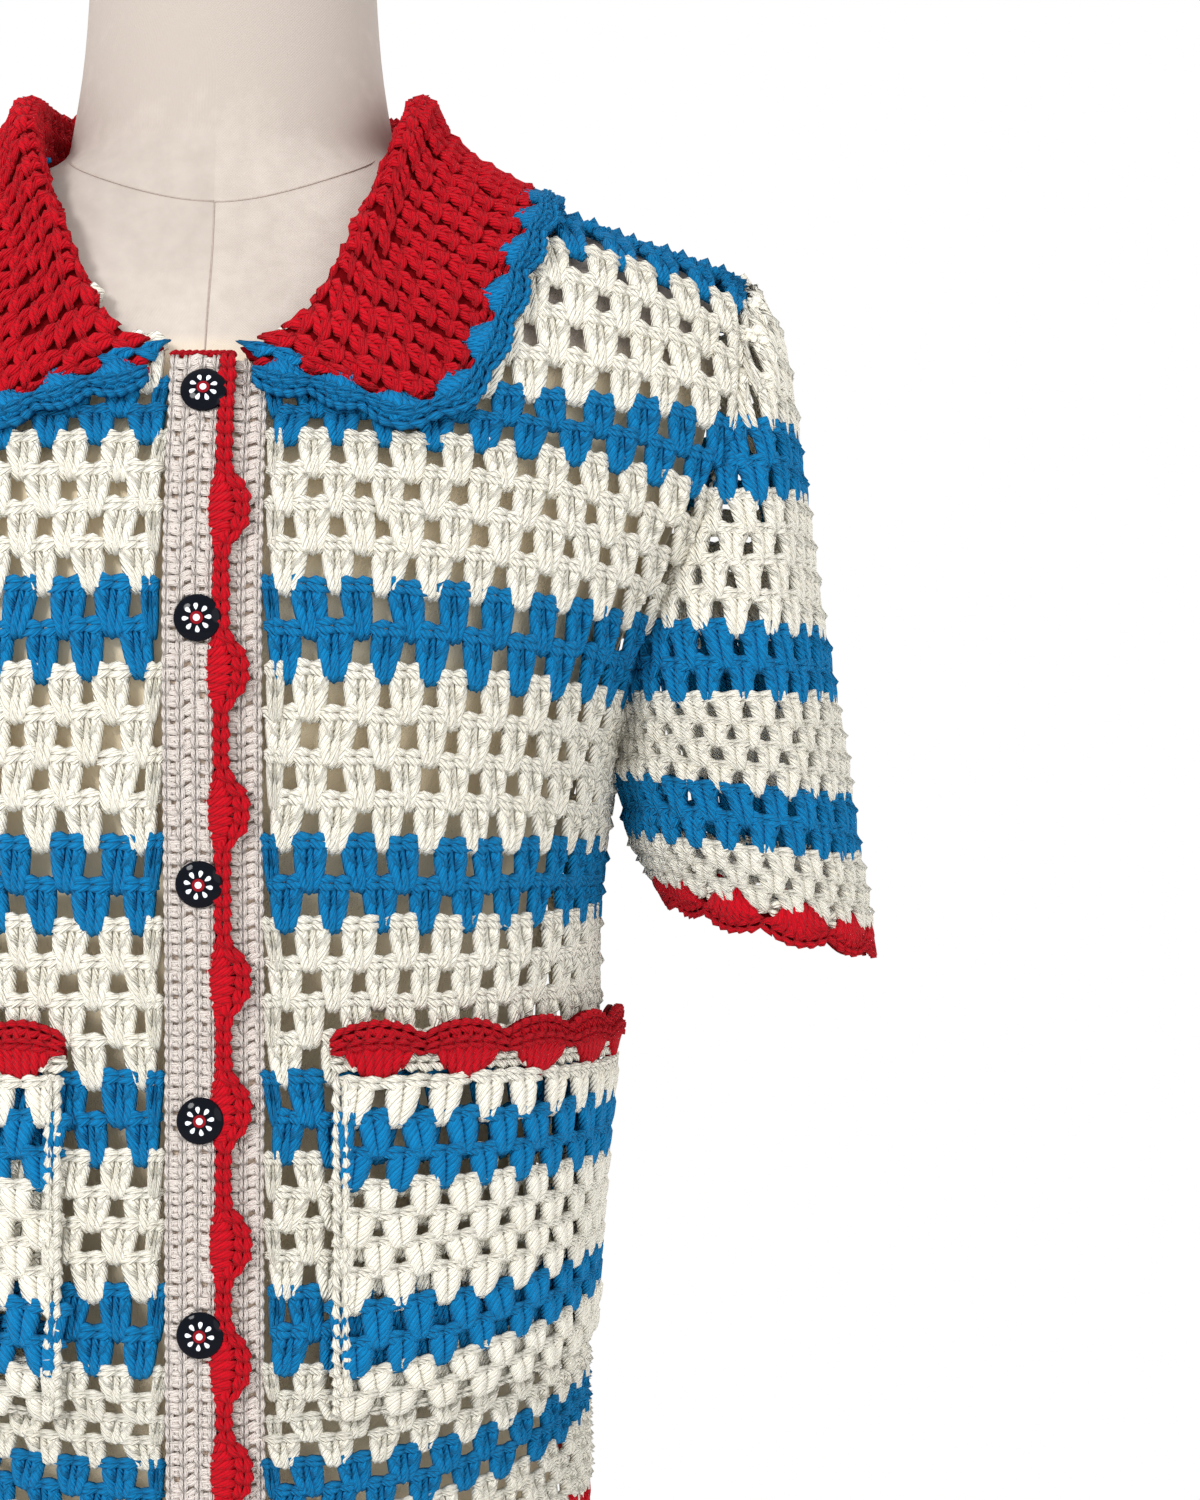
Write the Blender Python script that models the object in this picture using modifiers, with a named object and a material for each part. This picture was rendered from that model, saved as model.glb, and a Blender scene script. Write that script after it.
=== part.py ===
"""Short-sleeved crocheted cardigan, buttoned on a limbless dress form.

Metres, +Z up, the front of the garment faces -Y. The origin is the middle of the underside
of the stand. Every cloth piece is a wall of its own; the net of the crochet stays uncut.
"""
import math

import bpy
import numpy as np
from mathutils import Vector

# ---------------------------------------------------------------- driving sizes (metres)
CHEST = 0.720            # height of the chest line; the cloth tables count from it
WALL = 0.003             # thickness of the crocheted cloth
BAND_WALL = 0.0024       # thickness of the denser bands and edgings
SEAM = 0.0003            # gap between two pieces that are sewn or rest together
LAYER = WALL + SEAM      # how far a pocket or the collar is moved out from the panel
BAND_LAYER = BAND_WALL + SEAM

ROWS = 42                # crochet rows from the hem to the shoulder seam
UNDERARM_ROW = 26        # row at which the side seam ends and the armhole starts
YOKE_ROW = 40            # above this row the back's rows follow its neckline
CUFF_TO_UNDERARM = 5     # sleeve rows from the cuff to the underarm
TIP_X = 0.204            # shoulder point, from the middle
RIDGE_TOP = 0.2605       # shoulder line carried on to the middle, above the chest line
RIDGE_TIP = 0.187        # shoulder line at the shoulder point
SQUARE = 2.3             # exponent of the body's rounded section

BAND_X = (-0.0105, 0.0062)        # button band, on the wearer's right front
UNDER_BAND_X = (-0.0030, 0.0235)  # band of the wearer's left front, under the other
EDGING_X = (0.0065, 0.0122)       # red edging of that band, between its scallops
SCALLOP_X = 0.0186                # and where a scallop is widest
PLACKET_SCALLOPS = (0.0873, 0.0290, -0.0218, -0.0836, -0.1310, -0.1800, -0.2236, -0.2636, -0.3010)
SCALLOP_HALF = 0.021              # half length of such a scallop
NECK_TOP = 0.1440                 # top of the bands
BUTTON_HEIGHTS = (0.1305, 0.0476, -0.0484, -0.1350, -0.2127, -0.2930)
BUTTON_X = 0.0016
BUTTON_RADIUS = 0.0086
BUTTON_THICK = 0.0040
BAND_DROP = 0.010        # how far the bands run on below the first row

POCKET_X = 0.0478        # inner edge of a pocket
POCKET_ROWS = (8.0, 18.2)
POCKET_GAPE = 0.005      # how far the mouth stands off at the side

FORM_TOP = 0.345         # top of the neck, above the chest line
FORM_FOOT = -0.385       # underside of the torso
POLE_RADIUS = 0.012
BASE_RADIUS = 0.165
BASE_THICK = 0.016

# ---------------------------------------------------------------- tables of the garment
# Body sections, heights above the chest line. edge: half width at the side seam or armhole;
# turn: depth there; front, back: depth in the middle; blunt: exponent of the rounding.
LEVEL_COLUMNS = ("height", "edge", "turn", "front", "back", "blunt")
LEVELS = (
    (-0.345, 0.1415, 0.000, 0.112, 0.124, 0.435),
    (-0.290, 0.1420, 0.000, 0.115, 0.125, 0.435),
    (-0.230, 0.1410, 0.000, 0.120, 0.118, 0.435),
    (-0.170, 0.1430, 0.000, 0.121, 0.106, 0.435),
    (-0.120, 0.1440, 0.000, 0.120, 0.098, 0.435),
    (-0.060, 0.1450, 0.000, 0.123, 0.094, 0.435),
    (-0.007, 0.1522, 0.000, 0.127, 0.097, 0.435),
    (0.020, 0.1560, 0.026, 0.129, 0.101, 0.52),
    (0.045, 0.1645, 0.042, 0.129, 0.104, 0.66),
    (0.075, 0.1800, 0.053, 0.126, 0.105, 0.86),
    (0.100, 0.1915, 0.057, 0.120, 0.104, 1.00),
    (0.127, 0.1990, 0.055, 0.111, 0.101, 1.00),
    (0.157, 0.2030, 0.041, 0.099, 0.092, 0.85),
    (0.175, 0.2040, 0.024, 0.090, 0.084, 0.66),
    (0.187, 0.2040, 0.000, 0.083, 0.078, 0.50),
)
# Above the shoulder point the edge follows the shoulder line.
TOP_COLUMNS = ("height", "front", "back")
TOP_LEVELS = (
    (0.187, 0.083, 0.078),
    (0.205, 0.075, 0.074),
    (0.225, 0.070, 0.070),
    (0.2605, 0.060, 0.063),
)
# Row boundaries: height at the middle of the front, at the edge, at the middle of the back,
# and the exponent with which a row leaves one height for the other.
ROW_COLUMNS = ("row", "front", "edge", "back", "bend")
ROW_LEVELS = (
    (0, -0.3130, -0.2880, -0.2780, 3.0),
    (4, -0.2810, -0.2570, -0.2400, 3.0),
    (6, -0.2600, -0.2430, -0.2220, 3.0),
    (10, -0.2255, -0.2060, -0.1860, 3.0),
    (12, -0.1964, -0.1900, -0.1660, 3.0),
    (16, -0.1473, -0.1480, -0.1280, 3.0),
    (18, -0.1182, -0.1200, -0.1050, 3.0),
    (22, -0.0618, -0.0620, -0.0520, 3.0),
    (24, -0.0320, -0.0360, -0.0250, 3.0),
    (26, 0.0000, -0.0080, 0.0045, 3.0),
    (28, 0.0310, 0.0210, 0.0330, 3.0),
    (30, 0.0622, 0.0500, 0.0620, 3.0),
    (34, 0.1164, 0.0990, 0.1200, 4.0),
    (36, 0.1364, 0.1265, 0.1500, 4.0),
    (40, 0.2140, 0.1740, 0.2150, 1.6),
    (42, 0.2605, 0.1870, 0.2605, 1.0),
)
# Front neckline, and the back one, which starts in the middle.
NECK_COLUMNS = ("x", "height")
NECK_SHOULDER_X = 0.0755
NECK_SHOULDER = RIDGE_TOP - (RIDGE_TOP - RIDGE_TIP) * NECK_SHOULDER_X / TIP_X
FRONT_NECK = ((0.0160, 0.1445), (0.0257, 0.1480), (0.0360, 0.1560), (0.0460, 0.1670),
              (0.0560, 0.1850), (0.0650, 0.2030), (0.0710, 0.2200),
              (NECK_SHOULDER_X, NECK_SHOULDER))
BACK_NECK = ((0.0000, 0.2310), (0.0300, 0.2312), (0.0520, 0.2318), (0.0680, 0.2325),
             (NECK_SHOULDER_X, NECK_SHOULDER))
# Sleeve rows: height on the outside, half width of the opening in depth, outermost X,
# and below the underarm the height and X of the inner side.
SLEEVE_COLUMNS = ("row", "outer", "depth", "x_out", "inner", "x_in", "body_row")
SLEEVE_LEVELS = (
    (0, -0.0690, 0.0610, 0.2535, -0.0500, 0.1690, 0),
    (3, -0.0420, 0.0620, 0.2490, -0.0320, 0.1600, 0),
    (5, -0.0185, 0.0630, 0.2455, -0.0080, 0.1521, 26),
    (9, 0.0210, 0.0640, 0.2395, 0.0, 0.0, 28),
    (11, 0.0470, 0.0640, 0.2350, 0.0, 0.0, 30),
    (15, 0.1000, 0.0620, 0.2275, 0.0, 0.0, 34),
    (17, 0.1250, 0.0570, 0.2238, 0.0, 0.0, 36),
    (19, 0.1570, 0.0410, 0.2190, 0.0, 0.0, 39),
    (20, 0.1740, 0.0260, 0.2125, 0.0, 0.0, 40.5),
    (21, 0.1870, 0.0100, 0.2040, 0.0, 0.0, 42),
)
# Collar stations from its front point round to the middle of the back, on the panel's face:
# X and height of the neck seam and of the red outer edge, how far the collar stands up before
# it folds over, and whether it folds there at all (0 flat, 1 folded).
COLLAR_COLUMNS = ("station", "neck_x", "neck_z", "edge_x", "edge_z", "stand", "folded")
COLLAR_FRONT = (
    (0, 0.0165, 0.1446, 0.0200, 0.1405, 0.000, 0.00),
    (1, 0.0200, 0.1460, 0.0330, 0.1385, 0.002, 0.00),
    (2, 0.0257, 0.1480, 0.0470, 0.1360, 0.004, 0.10),
    (3, 0.0330, 0.1535, 0.0620, 0.1310, 0.007, 0.25),
    (4, 0.0400, 0.1600, 0.0745, 0.1270, 0.010, 0.45),
    (5, 0.0460, 0.1670, 0.0860, 0.1310, 0.012, 0.65),
    (6, 0.0510, 0.1755, 0.0950, 0.1400, 0.014, 0.82),
    (7, 0.0560, 0.1850, 0.1000, 0.1520, 0.016, 0.93),
    (8, 0.0610, 0.1945, 0.1050, 0.1650, 0.018, 1.00),
    (9, 0.0650, 0.2030, 0.1090, 0.1790, 0.020, 1.00),
    (10, 0.0695, 0.2150, 0.1145, 0.1930, 0.022, 1.00),
    (11, 0.0730, 0.2250, 0.1180, 0.2060, 0.024, 1.00),
    (12, 0.0755, 0.2333, 0.1190, 0.2176, 0.026, 1.00),
)
COLLAR_BACK = (
    (12, 0.0755, 0.2333, 0.1190, 0.2176, 0.026, 1.00),
    (13, 0.0700, 0.2326, 0.1120, 0.2010, 0.028, 1.00),
    (14, 0.0600, 0.2321, 0.0990, 0.1860, 0.030, 1.00),
    (15, 0.0470, 0.2316, 0.0790, 0.1760, 0.032, 1.00),
    (16, 0.0320, 0.2312, 0.0540, 0.1710, 0.034, 1.00),
    (17, 0.0160, 0.2310, 0.0270, 0.1690, 0.035, 1.00),
    (18, 0.0000, 0.2310, 0.0000, 0.1685, 0.035, 1.00),
)
# The dress form below the underarm: half width, and depth in front and behind.
FORM_COLUMNS = ("height", "edge", "front", "back")
FORM_LEVELS = (
    (-0.385, 0.1180, 0.0880, 0.1040),
    (-0.340, 0.1270, 0.0930, 0.1110),
    (-0.290, 0.1300, 0.0970, 0.1150),
    (-0.230, 0.1290, 0.1020, 0.1080),
    (-0.170, 0.1220, 0.1000, 0.0920),
    (-0.120, 0.1160, 0.0990, 0.0820),
    (-0.060, 0.1240, 0.1120, 0.0820),
    (-0.007, 0.1400, 0.1205, 0.0895),
)
NECK_LEVELS = ((0.190, 0.0000), (0.215, 0.0660), (0.235, 0.0655), (0.250, 0.0630), (0.270, 0.0595),
               (0.300, 0.0572), (0.345, 0.0560))
# Soft folds of the body: direction in degrees from the front round to the side, height,
# half length, half width in degrees, and how far out (+) or in (-) the cloth goes.
FOLD_COLUMNS = ("angle", "height", "half_length", "half_width", "out")
FOLDS = (
    (124, -0.268, 0.075, 20, 0.0120),
    (97, -0.262, 0.080, 11, -0.0050),
    (-118, -0.262, 0.080, 18, 0.0100),
    (-94, -0.255, 0.090, 11, -0.0045),
    (160, -0.240, 0.110, 12, 0.0050),
    (-152, -0.230, 0.120, 13, 0.0045),
    (62, -0.235, 0.060, 15, 0.0030),
    (-58, -0.225, 0.070, 15, 0.0035),
    (143, -0.020, 0.060, 12, -0.0030),
    (-139, -0.030, 0.070, 12, -0.0030),
)

# ---------------------------------------------------------------- colours
RED = (0.600, 0.010, 0.020)
BLUE = (0.012, 0.260, 0.600)
CREAM = (0.860, 0.820, 0.690)
BAND_WHITE = (0.860, 0.780, 0.700)
LINEN = (0.730, 0.660, 0.580)
BUTTON_BLACK = (0.012, 0.014, 0.022)
WOOD = (0.420, 0.260, 0.140)
STEEL = (0.550, 0.550, 0.560)

for old in list(bpy.data.objects):
    bpy.data.objects.remove(old, do_unlink=True)
COLLECTION = bpy.data.collections.new("cardigan_on_dress_form")
bpy.context.scene.collection.children.link(COLLECTION)


# ---------------------------------------------------------------- small helpers
def column(table, columns, name):
    """One named column of a table."""
    place = columns.index(name)
    return np.array([row[place] for row in table], float)


def smooth(at, known, values):
    """Cubic curve through a table's points that never overshoots them."""
    at = np.clip(np.asarray(at, float), known[0], known[-1])
    step = np.diff(known)
    slope = np.diff(values) / step
    tangent = np.concatenate(([slope[0]], 0.5 * (slope[1:] + slope[:-1]), [slope[-1]]))
    turns = slope[1:] * slope[:-1] <= 0
    tangent[1:-1][turns] = 0.0
    limit = 3.0 * np.minimum(np.abs(np.append(slope, slope[-1])), np.abs(np.append(slope[0], slope)))
    tangent = np.clip(tangent, -limit, limit)
    i = np.clip(np.searchsorted(known, at, side="right") - 1, 0, len(step) - 1)
    h = step[i]
    t = (at - known[i]) / h
    return ((2 * t**3 - 3 * t**2 + 1) * values[i] + (t**3 - 2 * t**2 + t) * h * tangent[i]
            + (3 * t**2 - 2 * t**3) * values[i + 1] + (t**3 - t**2) * h * tangent[i + 1])


def curve(table, columns, name):
    """A named column as a smooth function of the table's first column."""
    known = column(table, columns, columns[0])
    values = column(table, columns, name)
    return lambda at: smooth(at, known, values)


def unit(v):
    return v / np.maximum(np.linalg.norm(v, axis=-1, keepdims=True), 1e-12)


def evenly(points, count):
    """The same line with count points at equal distances."""
    gaps = np.linalg.norm(np.diff(points, axis=0), axis=1)
    along = np.concatenate(([0.0], np.cumsum(gaps)))
    wanted = np.linspace(0.0, along[-1], count)
    return np.stack([np.interp(wanted, along, points[:, k]) for k in range(3)], axis=1)


def material(name, colour, roughness=0.9, metallic=0.0):
    made = bpy.data.materials.new(name)
    made.use_nodes = True
    shader = made.node_tree.nodes["Principled BSDF"]
    shader.inputs["Base Color"].default_value = (*colour, 1.0)
    shader.inputs["Roughness"].default_value = roughness
    shader.inputs["Metallic"].default_value = metallic
    return made


def add_object(name, mesh, finish):
    made = bpy.data.objects.new(name, mesh)
    COLLECTION.objects.link(made)
    mesh.materials.append(finish)
    return made


# ---------------------------------------------------------------- the body's surface
EDGE = curve(LEVELS, LEVEL_COLUMNS, "edge")
TURN = curve(LEVELS, LEVEL_COLUMNS, "turn")
BLUNT = curve(LEVELS, LEVEL_COLUMNS, "blunt")
DEPTH = {side: curve(LEVELS, LEVEL_COLUMNS, side) for side in ("front", "back")}
TOP_DEPTH = {side: curve(TOP_LEVELS, TOP_COLUMNS, side) for side in ("front", "back")}
ROW_EDGE = curve(ROW_LEVELS, ROW_COLUMNS, "edge")
ROW_BEND = curve(ROW_LEVELS, ROW_COLUMNS, "bend")
ROW_MIDDLE = {side: curve(ROW_LEVELS, ROW_COLUMNS, side) for side in ("front", "back")}


def edge_x(z):
    """Half width of the body at a height: side seam, armhole, then the shoulder line."""
    on_shoulder = TIP_X * (RIDGE_TOP - z) / (RIDGE_TOP - RIDGE_TIP)
    return np.where(z > RIDGE_TIP, on_shoulder, EDGE(z))


def fold_offset(angle, z):
    """How far the folds move the cloth out at an angle (degrees) and a height."""
    total = np.zeros(np.broadcast(angle, z).shape)
    for middle, height, half_length, half_width, out in FOLDS:
        across = (angle - middle + 180.0) % 360.0 - 180.0
        total = total + out * np.exp(-(across / half_width) ** 2 - ((z - height) / half_length) ** 2)
    return total


def body_point(x, z, side="front"):
    """Point of the cloth's outer face at a given X and height, front or back."""
    x = np.asarray(x, float)
    z = np.asarray(z, float)
    edge = np.maximum(edge_x(z), 1e-4)
    high = z > RIDGE_TIP
    depth = np.where(high, TOP_DEPTH[side](z), DEPTH[side](z))
    turn = np.where(high, 0.0, TURN(z))
    blunt = np.where(high, 0.5, BLUNT(z))
    part = np.clip(np.abs(x) / edge, 0.0, 1.0)
    y = turn + (depth - turn) * (1.0 - part ** SQUARE) ** blunt
    away = -1.0 if side == "front" else 1.0
    angle = np.degrees(np.arctan2(x, -away * y))
    move = fold_offset(angle, z)
    out_x = np.sin(np.radians(angle))
    out_y = -np.cos(np.radians(angle))
    return np.stack([x + move * out_x, away * y + move * out_y, z + CHEST], axis=-1)


def row_height(row, part, side="front"):
    """Height of a row boundary at a part (0 middle, 1 edge) of the way across."""
    middle = ROW_MIDDLE[side](row)
    height = middle + (ROW_EDGE(row) - middle) * part ** ROW_BEND(row)
    if side == "front" or row <= YOKE_ROW:
        return height
    low = row_height(YOKE_ROW, part, side)
    x = part * TIP_X
    neck = np.interp(x, column(BACK_NECK, NECK_COLUMNS, "x"), column(BACK_NECK, NECK_COLUMNS, "height"))
    shoulder = RIDGE_TOP - (RIDGE_TOP - RIDGE_TIP) * part
    top = np.where(x < NECK_SHOULDER_X, neck, shoulder)
    return low + (top - low) * (row - YOKE_ROW) / (ROWS - YOKE_ROW)


def neck_x(z):
    """Where the front neckline crosses a height."""
    heights = column(FRONT_NECK, NECK_COLUMNS, "height")
    return np.interp(z, heights, column(FRONT_NECK, NECK_COLUMNS, "x"))


def row_start(row, start_x):
    """X where a row of a front leaves the neckline, or start_x below it."""
    outer = edge_x(ROW_EDGE(row))

    def cut_away(x):
        z = row_height(row, x / outer)
        return z > FRONT_NECK[0][1] and x < neck_x(z)

    low, high = start_x, 0.9 * outer
    if not cut_away(low):
        return start_x
    for _ in range(40):
        middle = 0.5 * (low + high)
        if cut_away(middle):
            low = middle
        else:
            high = middle
    return high


def row_span(row, start, end, count, side="front", hand=1):
    """One row of a panel half between two X places, evenly spaced along the cloth."""
    outer = edge_x(ROW_EDGE(row))
    if end is None:
        end = outer
    bend = np.sin(np.linspace(0.0, 0.5 * math.pi, 160))
    x = start + (end - start) * bend
    z = row_height(row, np.minimum(x / outer, 1.0), side)
    return evenly(body_point(hand * x, z, side), count)


def row_line(row, start_x, count, side="front", hand=1):
    """One row of a panel half from its inner edge to its outer edge."""
    start = row_start(row, start_x) if side == "front" else start_x
    return row_span(row, start, None, count, side, hand)


# ---------------------------------------------------------------- the sleeve's surface
SLEEVE = {name: curve(SLEEVE_LEVELS, SLEEVE_COLUMNS, name) for name in SLEEVE_COLUMNS[1:]}


def sleeve_row_of(body_row):
    """Sleeve row that meets a body row at the armhole."""
    used = [row for row in SLEEVE_LEVELS if row[0] >= CUFF_TO_UNDERARM]
    place = SLEEVE_COLUMNS.index("body_row")
    return float(np.interp(body_row, [row[place] for row in used], [row[0] for row in used]))


def sleeve_line(row, count, hand=1, body_row=None):
    """One row of a sleeve from the front end round the outside to the back end."""
    if body_row == ROWS:
        return np.tile((hand * TIP_X, 0.0, CHEST + RIDGE_TIP), (count, 1))
    x_out = SLEEVE["x_out"](row)
    outer = SLEEVE["outer"](row)
    depth = SLEEVE["depth"](row)
    if body_row is None:
        end_x = SLEEVE["x_in"](row)
        end_z = SLEEVE["inner"](row)
        reach = math.pi
    else:
        end_z = ROW_EDGE(body_row)
        end_x = edge_x(end_z)
        reach = math.pi - math.asin(min(1.0, float(TURN(end_z) / depth)))
    half = (x_out - end_x) / (1.0 - math.cos(reach))
    angle = np.linspace(-reach, reach, 121)
    x = x_out - half + half * np.cos(angle)
    y = depth * np.sin(angle)
    z = outer + (end_z - outer) * (1.0 - np.cos(angle)) / (1.0 - math.cos(reach))
    return evenly(np.stack([hand * x, y, z + CHEST], axis=-1), count)


# ---------------------------------------------------------------- walls
def grid_faces(rows, columns, closed=False, flip=False):
    """Four-sided faces of a grid whose points are counted row by row."""
    faces = []
    for i in range(rows - 1):
        for j in range(columns if closed else columns - 1):
            k = (j + 1) % columns
            face = (i * columns + j, i * columns + k, (i + 1) * columns + k, (i + 1) * columns + j)
            faces.append(face[::-1] if flip else face)
    return faces


def point_normals(points, faces):
    normals = np.zeros_like(points)
    for face in faces:
        corner = points[list(face)]
        turn = np.cross(corner[2] - corner[0], corner[-1] - corner[1])
        for index in face:
            normals[index] += turn
    return unit(normals)


def wall(name, points, faces, finish, thick=WALL, normals=None):
    """Closed wall: the faces are its outer side, and its inner side lies thick behind."""
    if normals is None:
        normals = point_normals(points, faces)
    inner = points - normals * thick
    mesh_points = np.concatenate([points, inner])
    count = len(points)
    used = {}
    for face in faces:
        for a, b in zip(face, face[1:] + face[:1]):
            used[(a, b)] = True
    solid = list(faces) + [tuple(index + count for index in face[::-1]) for face in faces]
    for a, b in used:
        if (b, a) not in used:
            solid.append((b, a, a + count, b + count))
    mesh = bpy.data.meshes.new(name)
    mesh.from_pydata(mesh_points.tolist(), [], solid)
    mesh.update()
    return add_object(name, mesh, finish)


class Patch:
    """One panel before it becomes a wall: its points and faces."""

    def __init__(self, name, finish):
        self.name = name
        self.finish = finish
        self.points = []
        self.faces = []
        self.known = {}

    def index(self, point):
        key = tuple(np.round(point, 6))
        if key not in self.known:
            self.known[key] = len(self.points)
            self.points.append(np.asarray(point, float))
        return self.known[key]

    def add_grid(self, lines, flip=False):
        """Join neighbouring rows of equal length with faces."""
        for low, high in zip(lines, lines[1:]):
            for j in range(len(low) - 1):
                corners = [self.index(p) for p in (low[j], low[j + 1], high[j + 1], high[j])]
                face = []
                for corner in corners:
                    if corner not in face:
                        face.append(corner)
                if len(face) > 2:
                    self.faces.append(tuple(face[::-1] if flip else face))


def sewn_walls(patches):
    """Make walls of patches that meet: shared normals, and a seam's gap between them."""
    shared = {}
    for patch in patches:
        points = np.array(patch.points)
        patch.turns = np.zeros_like(points)
        for face in patch.faces:
            corner = points[list(face)]
            turn = np.cross(corner[2] - corner[0], corner[-1] - corner[1])
            patch.turns[list(face)] += turn
        for key, index in patch.known.items():
            shared.setdefault(key, []).append((patch, index))
    for meeting in shared.values():
        total = sum(patch.turns[index] for patch, index in meeting)
        for patch, index in meeting:
            patch.turns[index] = total
    for patch in patches:
        points = np.array(patch.points)
        normals = unit(patch.turns)
        ring = {}
        for face in patch.faces:
            for a, b in zip(face, face[1:] + face[:1]):
                ring[(a, b)] = face
        pull = np.zeros_like(points)
        for (a, b), face in ring.items():
            if (b, a) in ring:
                continue
            along = points[b] - points[a]
            inward = np.cross(normals[a] + normals[b], along)
            pull[a] += unit(inward)
            pull[b] += unit(inward)
        edge = np.linalg.norm(pull, axis=1) > 0.1
        moved = points.copy()
        moved[edge] += unit(pull[edge]) * 0.9 * SEAM
        wall(patch.name, moved, patch.faces, patch.finish, normals=normals)


# ---------------------------------------------------------------- panels and sleeves
CREAM_STITCH = material("cream_crochet", CREAM)
BAND_STITCH = material("band_crochet", BAND_WHITE)
RED_STITCH = material("red_crochet", RED)
BLUE_STITCH = material("blue_crochet", BLUE)
LINEN_COVER = material("linen_cover", LINEN)
BUTTON_GLOSS = material("button_gloss", BUTTON_BLACK, roughness=0.12)
TURNED_WOOD = material("turned_wood", WOOD, roughness=0.45)
BRUSHED_STEEL = material("brushed_steel", STEEL, roughness=0.3, metallic=1.0)

BODY_ROWS = list(range(0, 24, 3)) + list(range(24, 40, 2)) + [39.4, 40.7, 41.6, ROWS]
HALF_COLUMNS = 11
BACK_COLUMNS = 5
SLEEVE_COLUMNS_ROUND = 19
FRONT_START = {1: UNDER_BAND_X[1] + SEAM, -1: SEAM - BAND_X[0]}


def front_patch(hand):
    name = "front_left" if hand > 0 else "front_right"
    patch = Patch(name, CREAM_STITCH)
    lines = [row_line(row, FRONT_START[hand], HALF_COLUMNS, "front", hand) for row in BODY_ROWS]
    patch.add_grid(lines, flip=hand < 0)
    return patch


def back_patch():
    patch = Patch("back", CREAM_STITCH)
    for hand in (1, -1):
        inner = [row_span(row, 0.0, NECK_SHOULDER_X, BACK_COLUMNS, "back", hand) for row in BODY_ROWS]
        outer = [row_span(row, NECK_SHOULDER_X, None, HALF_COLUMNS, "back", hand) for row in BODY_ROWS]
        patch.add_grid(inner, flip=hand > 0)
        patch.add_grid(outer, flip=hand > 0)
    return patch


def sleeve_patch(hand):
    patch = Patch("sleeve_left" if hand > 0 else "sleeve_right", CREAM_STITCH)
    lines = [sleeve_line(row, SLEEVE_COLUMNS_ROUND, hand) for row in (0, 1.5, 3)]
    for body_row in BODY_ROWS[BODY_ROWS.index(UNDERARM_ROW):]:
        lines.append(sleeve_line(sleeve_row_of(body_row), SLEEVE_COLUMNS_ROUND, hand, body_row))
    patch.add_grid(lines, flip=hand < 0)
    return patch


def build_panels():
    patches = [front_patch(1), front_patch(-1), back_patch(), sleeve_patch(1), sleeve_patch(-1)]
    sewn_walls(patches)


# ---------------------------------------------------------------- pieces on the panels
def face_normal(x, z, side="front"):
    """Outward direction of the cloth's face at a given X and height."""
    step = 0.0008
    across = body_point(x + step, z, side) - body_point(x - step, z, side)
    up = body_point(x, z + step, side) - body_point(x, z - step, side)
    out = unit(np.cross(across, up))
    return out if side == "front" else -out


def lifted(x, z, lift, side="front"):
    """Point of the body's face moved out."""
    return body_point(x, z, side) + face_normal(x, z, side) * np.asarray(lift)[..., None]


def sheet(name, lines, finish, thick, closed=False, flip=False):
    """Wall over rows of points, each row the same length."""
    points = np.concatenate(lines)
    faces = grid_faces(len(lines), len(lines[0]), closed=closed, flip=flip)
    return wall(name, points, faces, finish, thick=thick)


def build_bands():
    heights = np.linspace(NECK_TOP, ROW_LEVELS[0][1] - BAND_DROP, 24)
    for name, (left, right), lift in (("under_band", UNDER_BAND_X, 0.0),
                                      ("button_band", BAND_X, BAND_LAYER)):
        across = np.linspace(left, right, 3)
        lines = [lifted(across, np.full(3, z), np.full(3, lift)) for z in heights[::-1]]
        sheet(name, lines, BAND_STITCH, BAND_WALL)


def scallop_x(z):
    """Outer edge of the placket's red edging at a height."""
    swell = sum(np.exp(-((z - middle) / (0.52 * SCALLOP_HALF)) ** 4) for middle in PLACKET_SCALLOPS)
    return EDGING_X[1] + (SCALLOP_X - EDGING_X[1]) * np.minimum(swell, 1.0)


def build_placket_edging():
    lines = []
    for z in np.linspace(ROW_LEVELS[0][1] - BAND_DROP, NECK_TOP, 64):
        across = np.array((EDGING_X[0], scallop_x(z)))
        lines.append(lifted(across, np.full(2, z), np.full(2, BAND_LAYER)))
    sheet("placket_edging", lines, RED_STITCH, BAND_WALL)


def build_neck_cord():
    radius = 0.0013
    height = NECK_TOP + SEAM + radius + 0.0002
    across = np.linspace(BAND_X[0], EDGING_X[1], 8)
    path = lifted(across, np.full(8, height), np.full(8, BAND_LAYER - radius))
    line = bpy.data.curves.new("neck_cord", "CURVE")
    line.dimensions = "3D"
    line.bevel_depth = radius
    line.bevel_resolution = 2
    line.use_fill_caps = True
    spline = line.splines.new("POLY")
    spline.points.add(len(path) - 1)
    for target, point in zip(spline.points, path):
        target.co = (*point, 1.0)
    add_object("neck_cord", line, RED_STITCH)


def square_to(line, away, closed):
    """The part of each direction that is square to the line."""
    ends = line if not closed else np.concatenate([line[-2:-1], line, line[1:2]])
    along = unit(np.gradient(ends, axis=0))
    if closed:
        along = along[1:-1]
    return unit(away - along * np.sum(away * along, axis=1, keepdims=True))


def frill(name, base, before, depth, finish, closed=False, flip=False, settle=None):
    """Edging on a line of points, away from the line before it, as far as depth says."""
    away = square_to(base, unit(base - before), closed)
    lines = [base + away * SEAM, base + away * (SEAM + depth[:, None])]
    if settle:
        lines[1] = settle(lines[1])
    if closed:
        lines = [line[:-1] for line in lines]
    return sheet(name, lines, finish, BAND_WALL, closed=closed, flip=flip)


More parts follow.
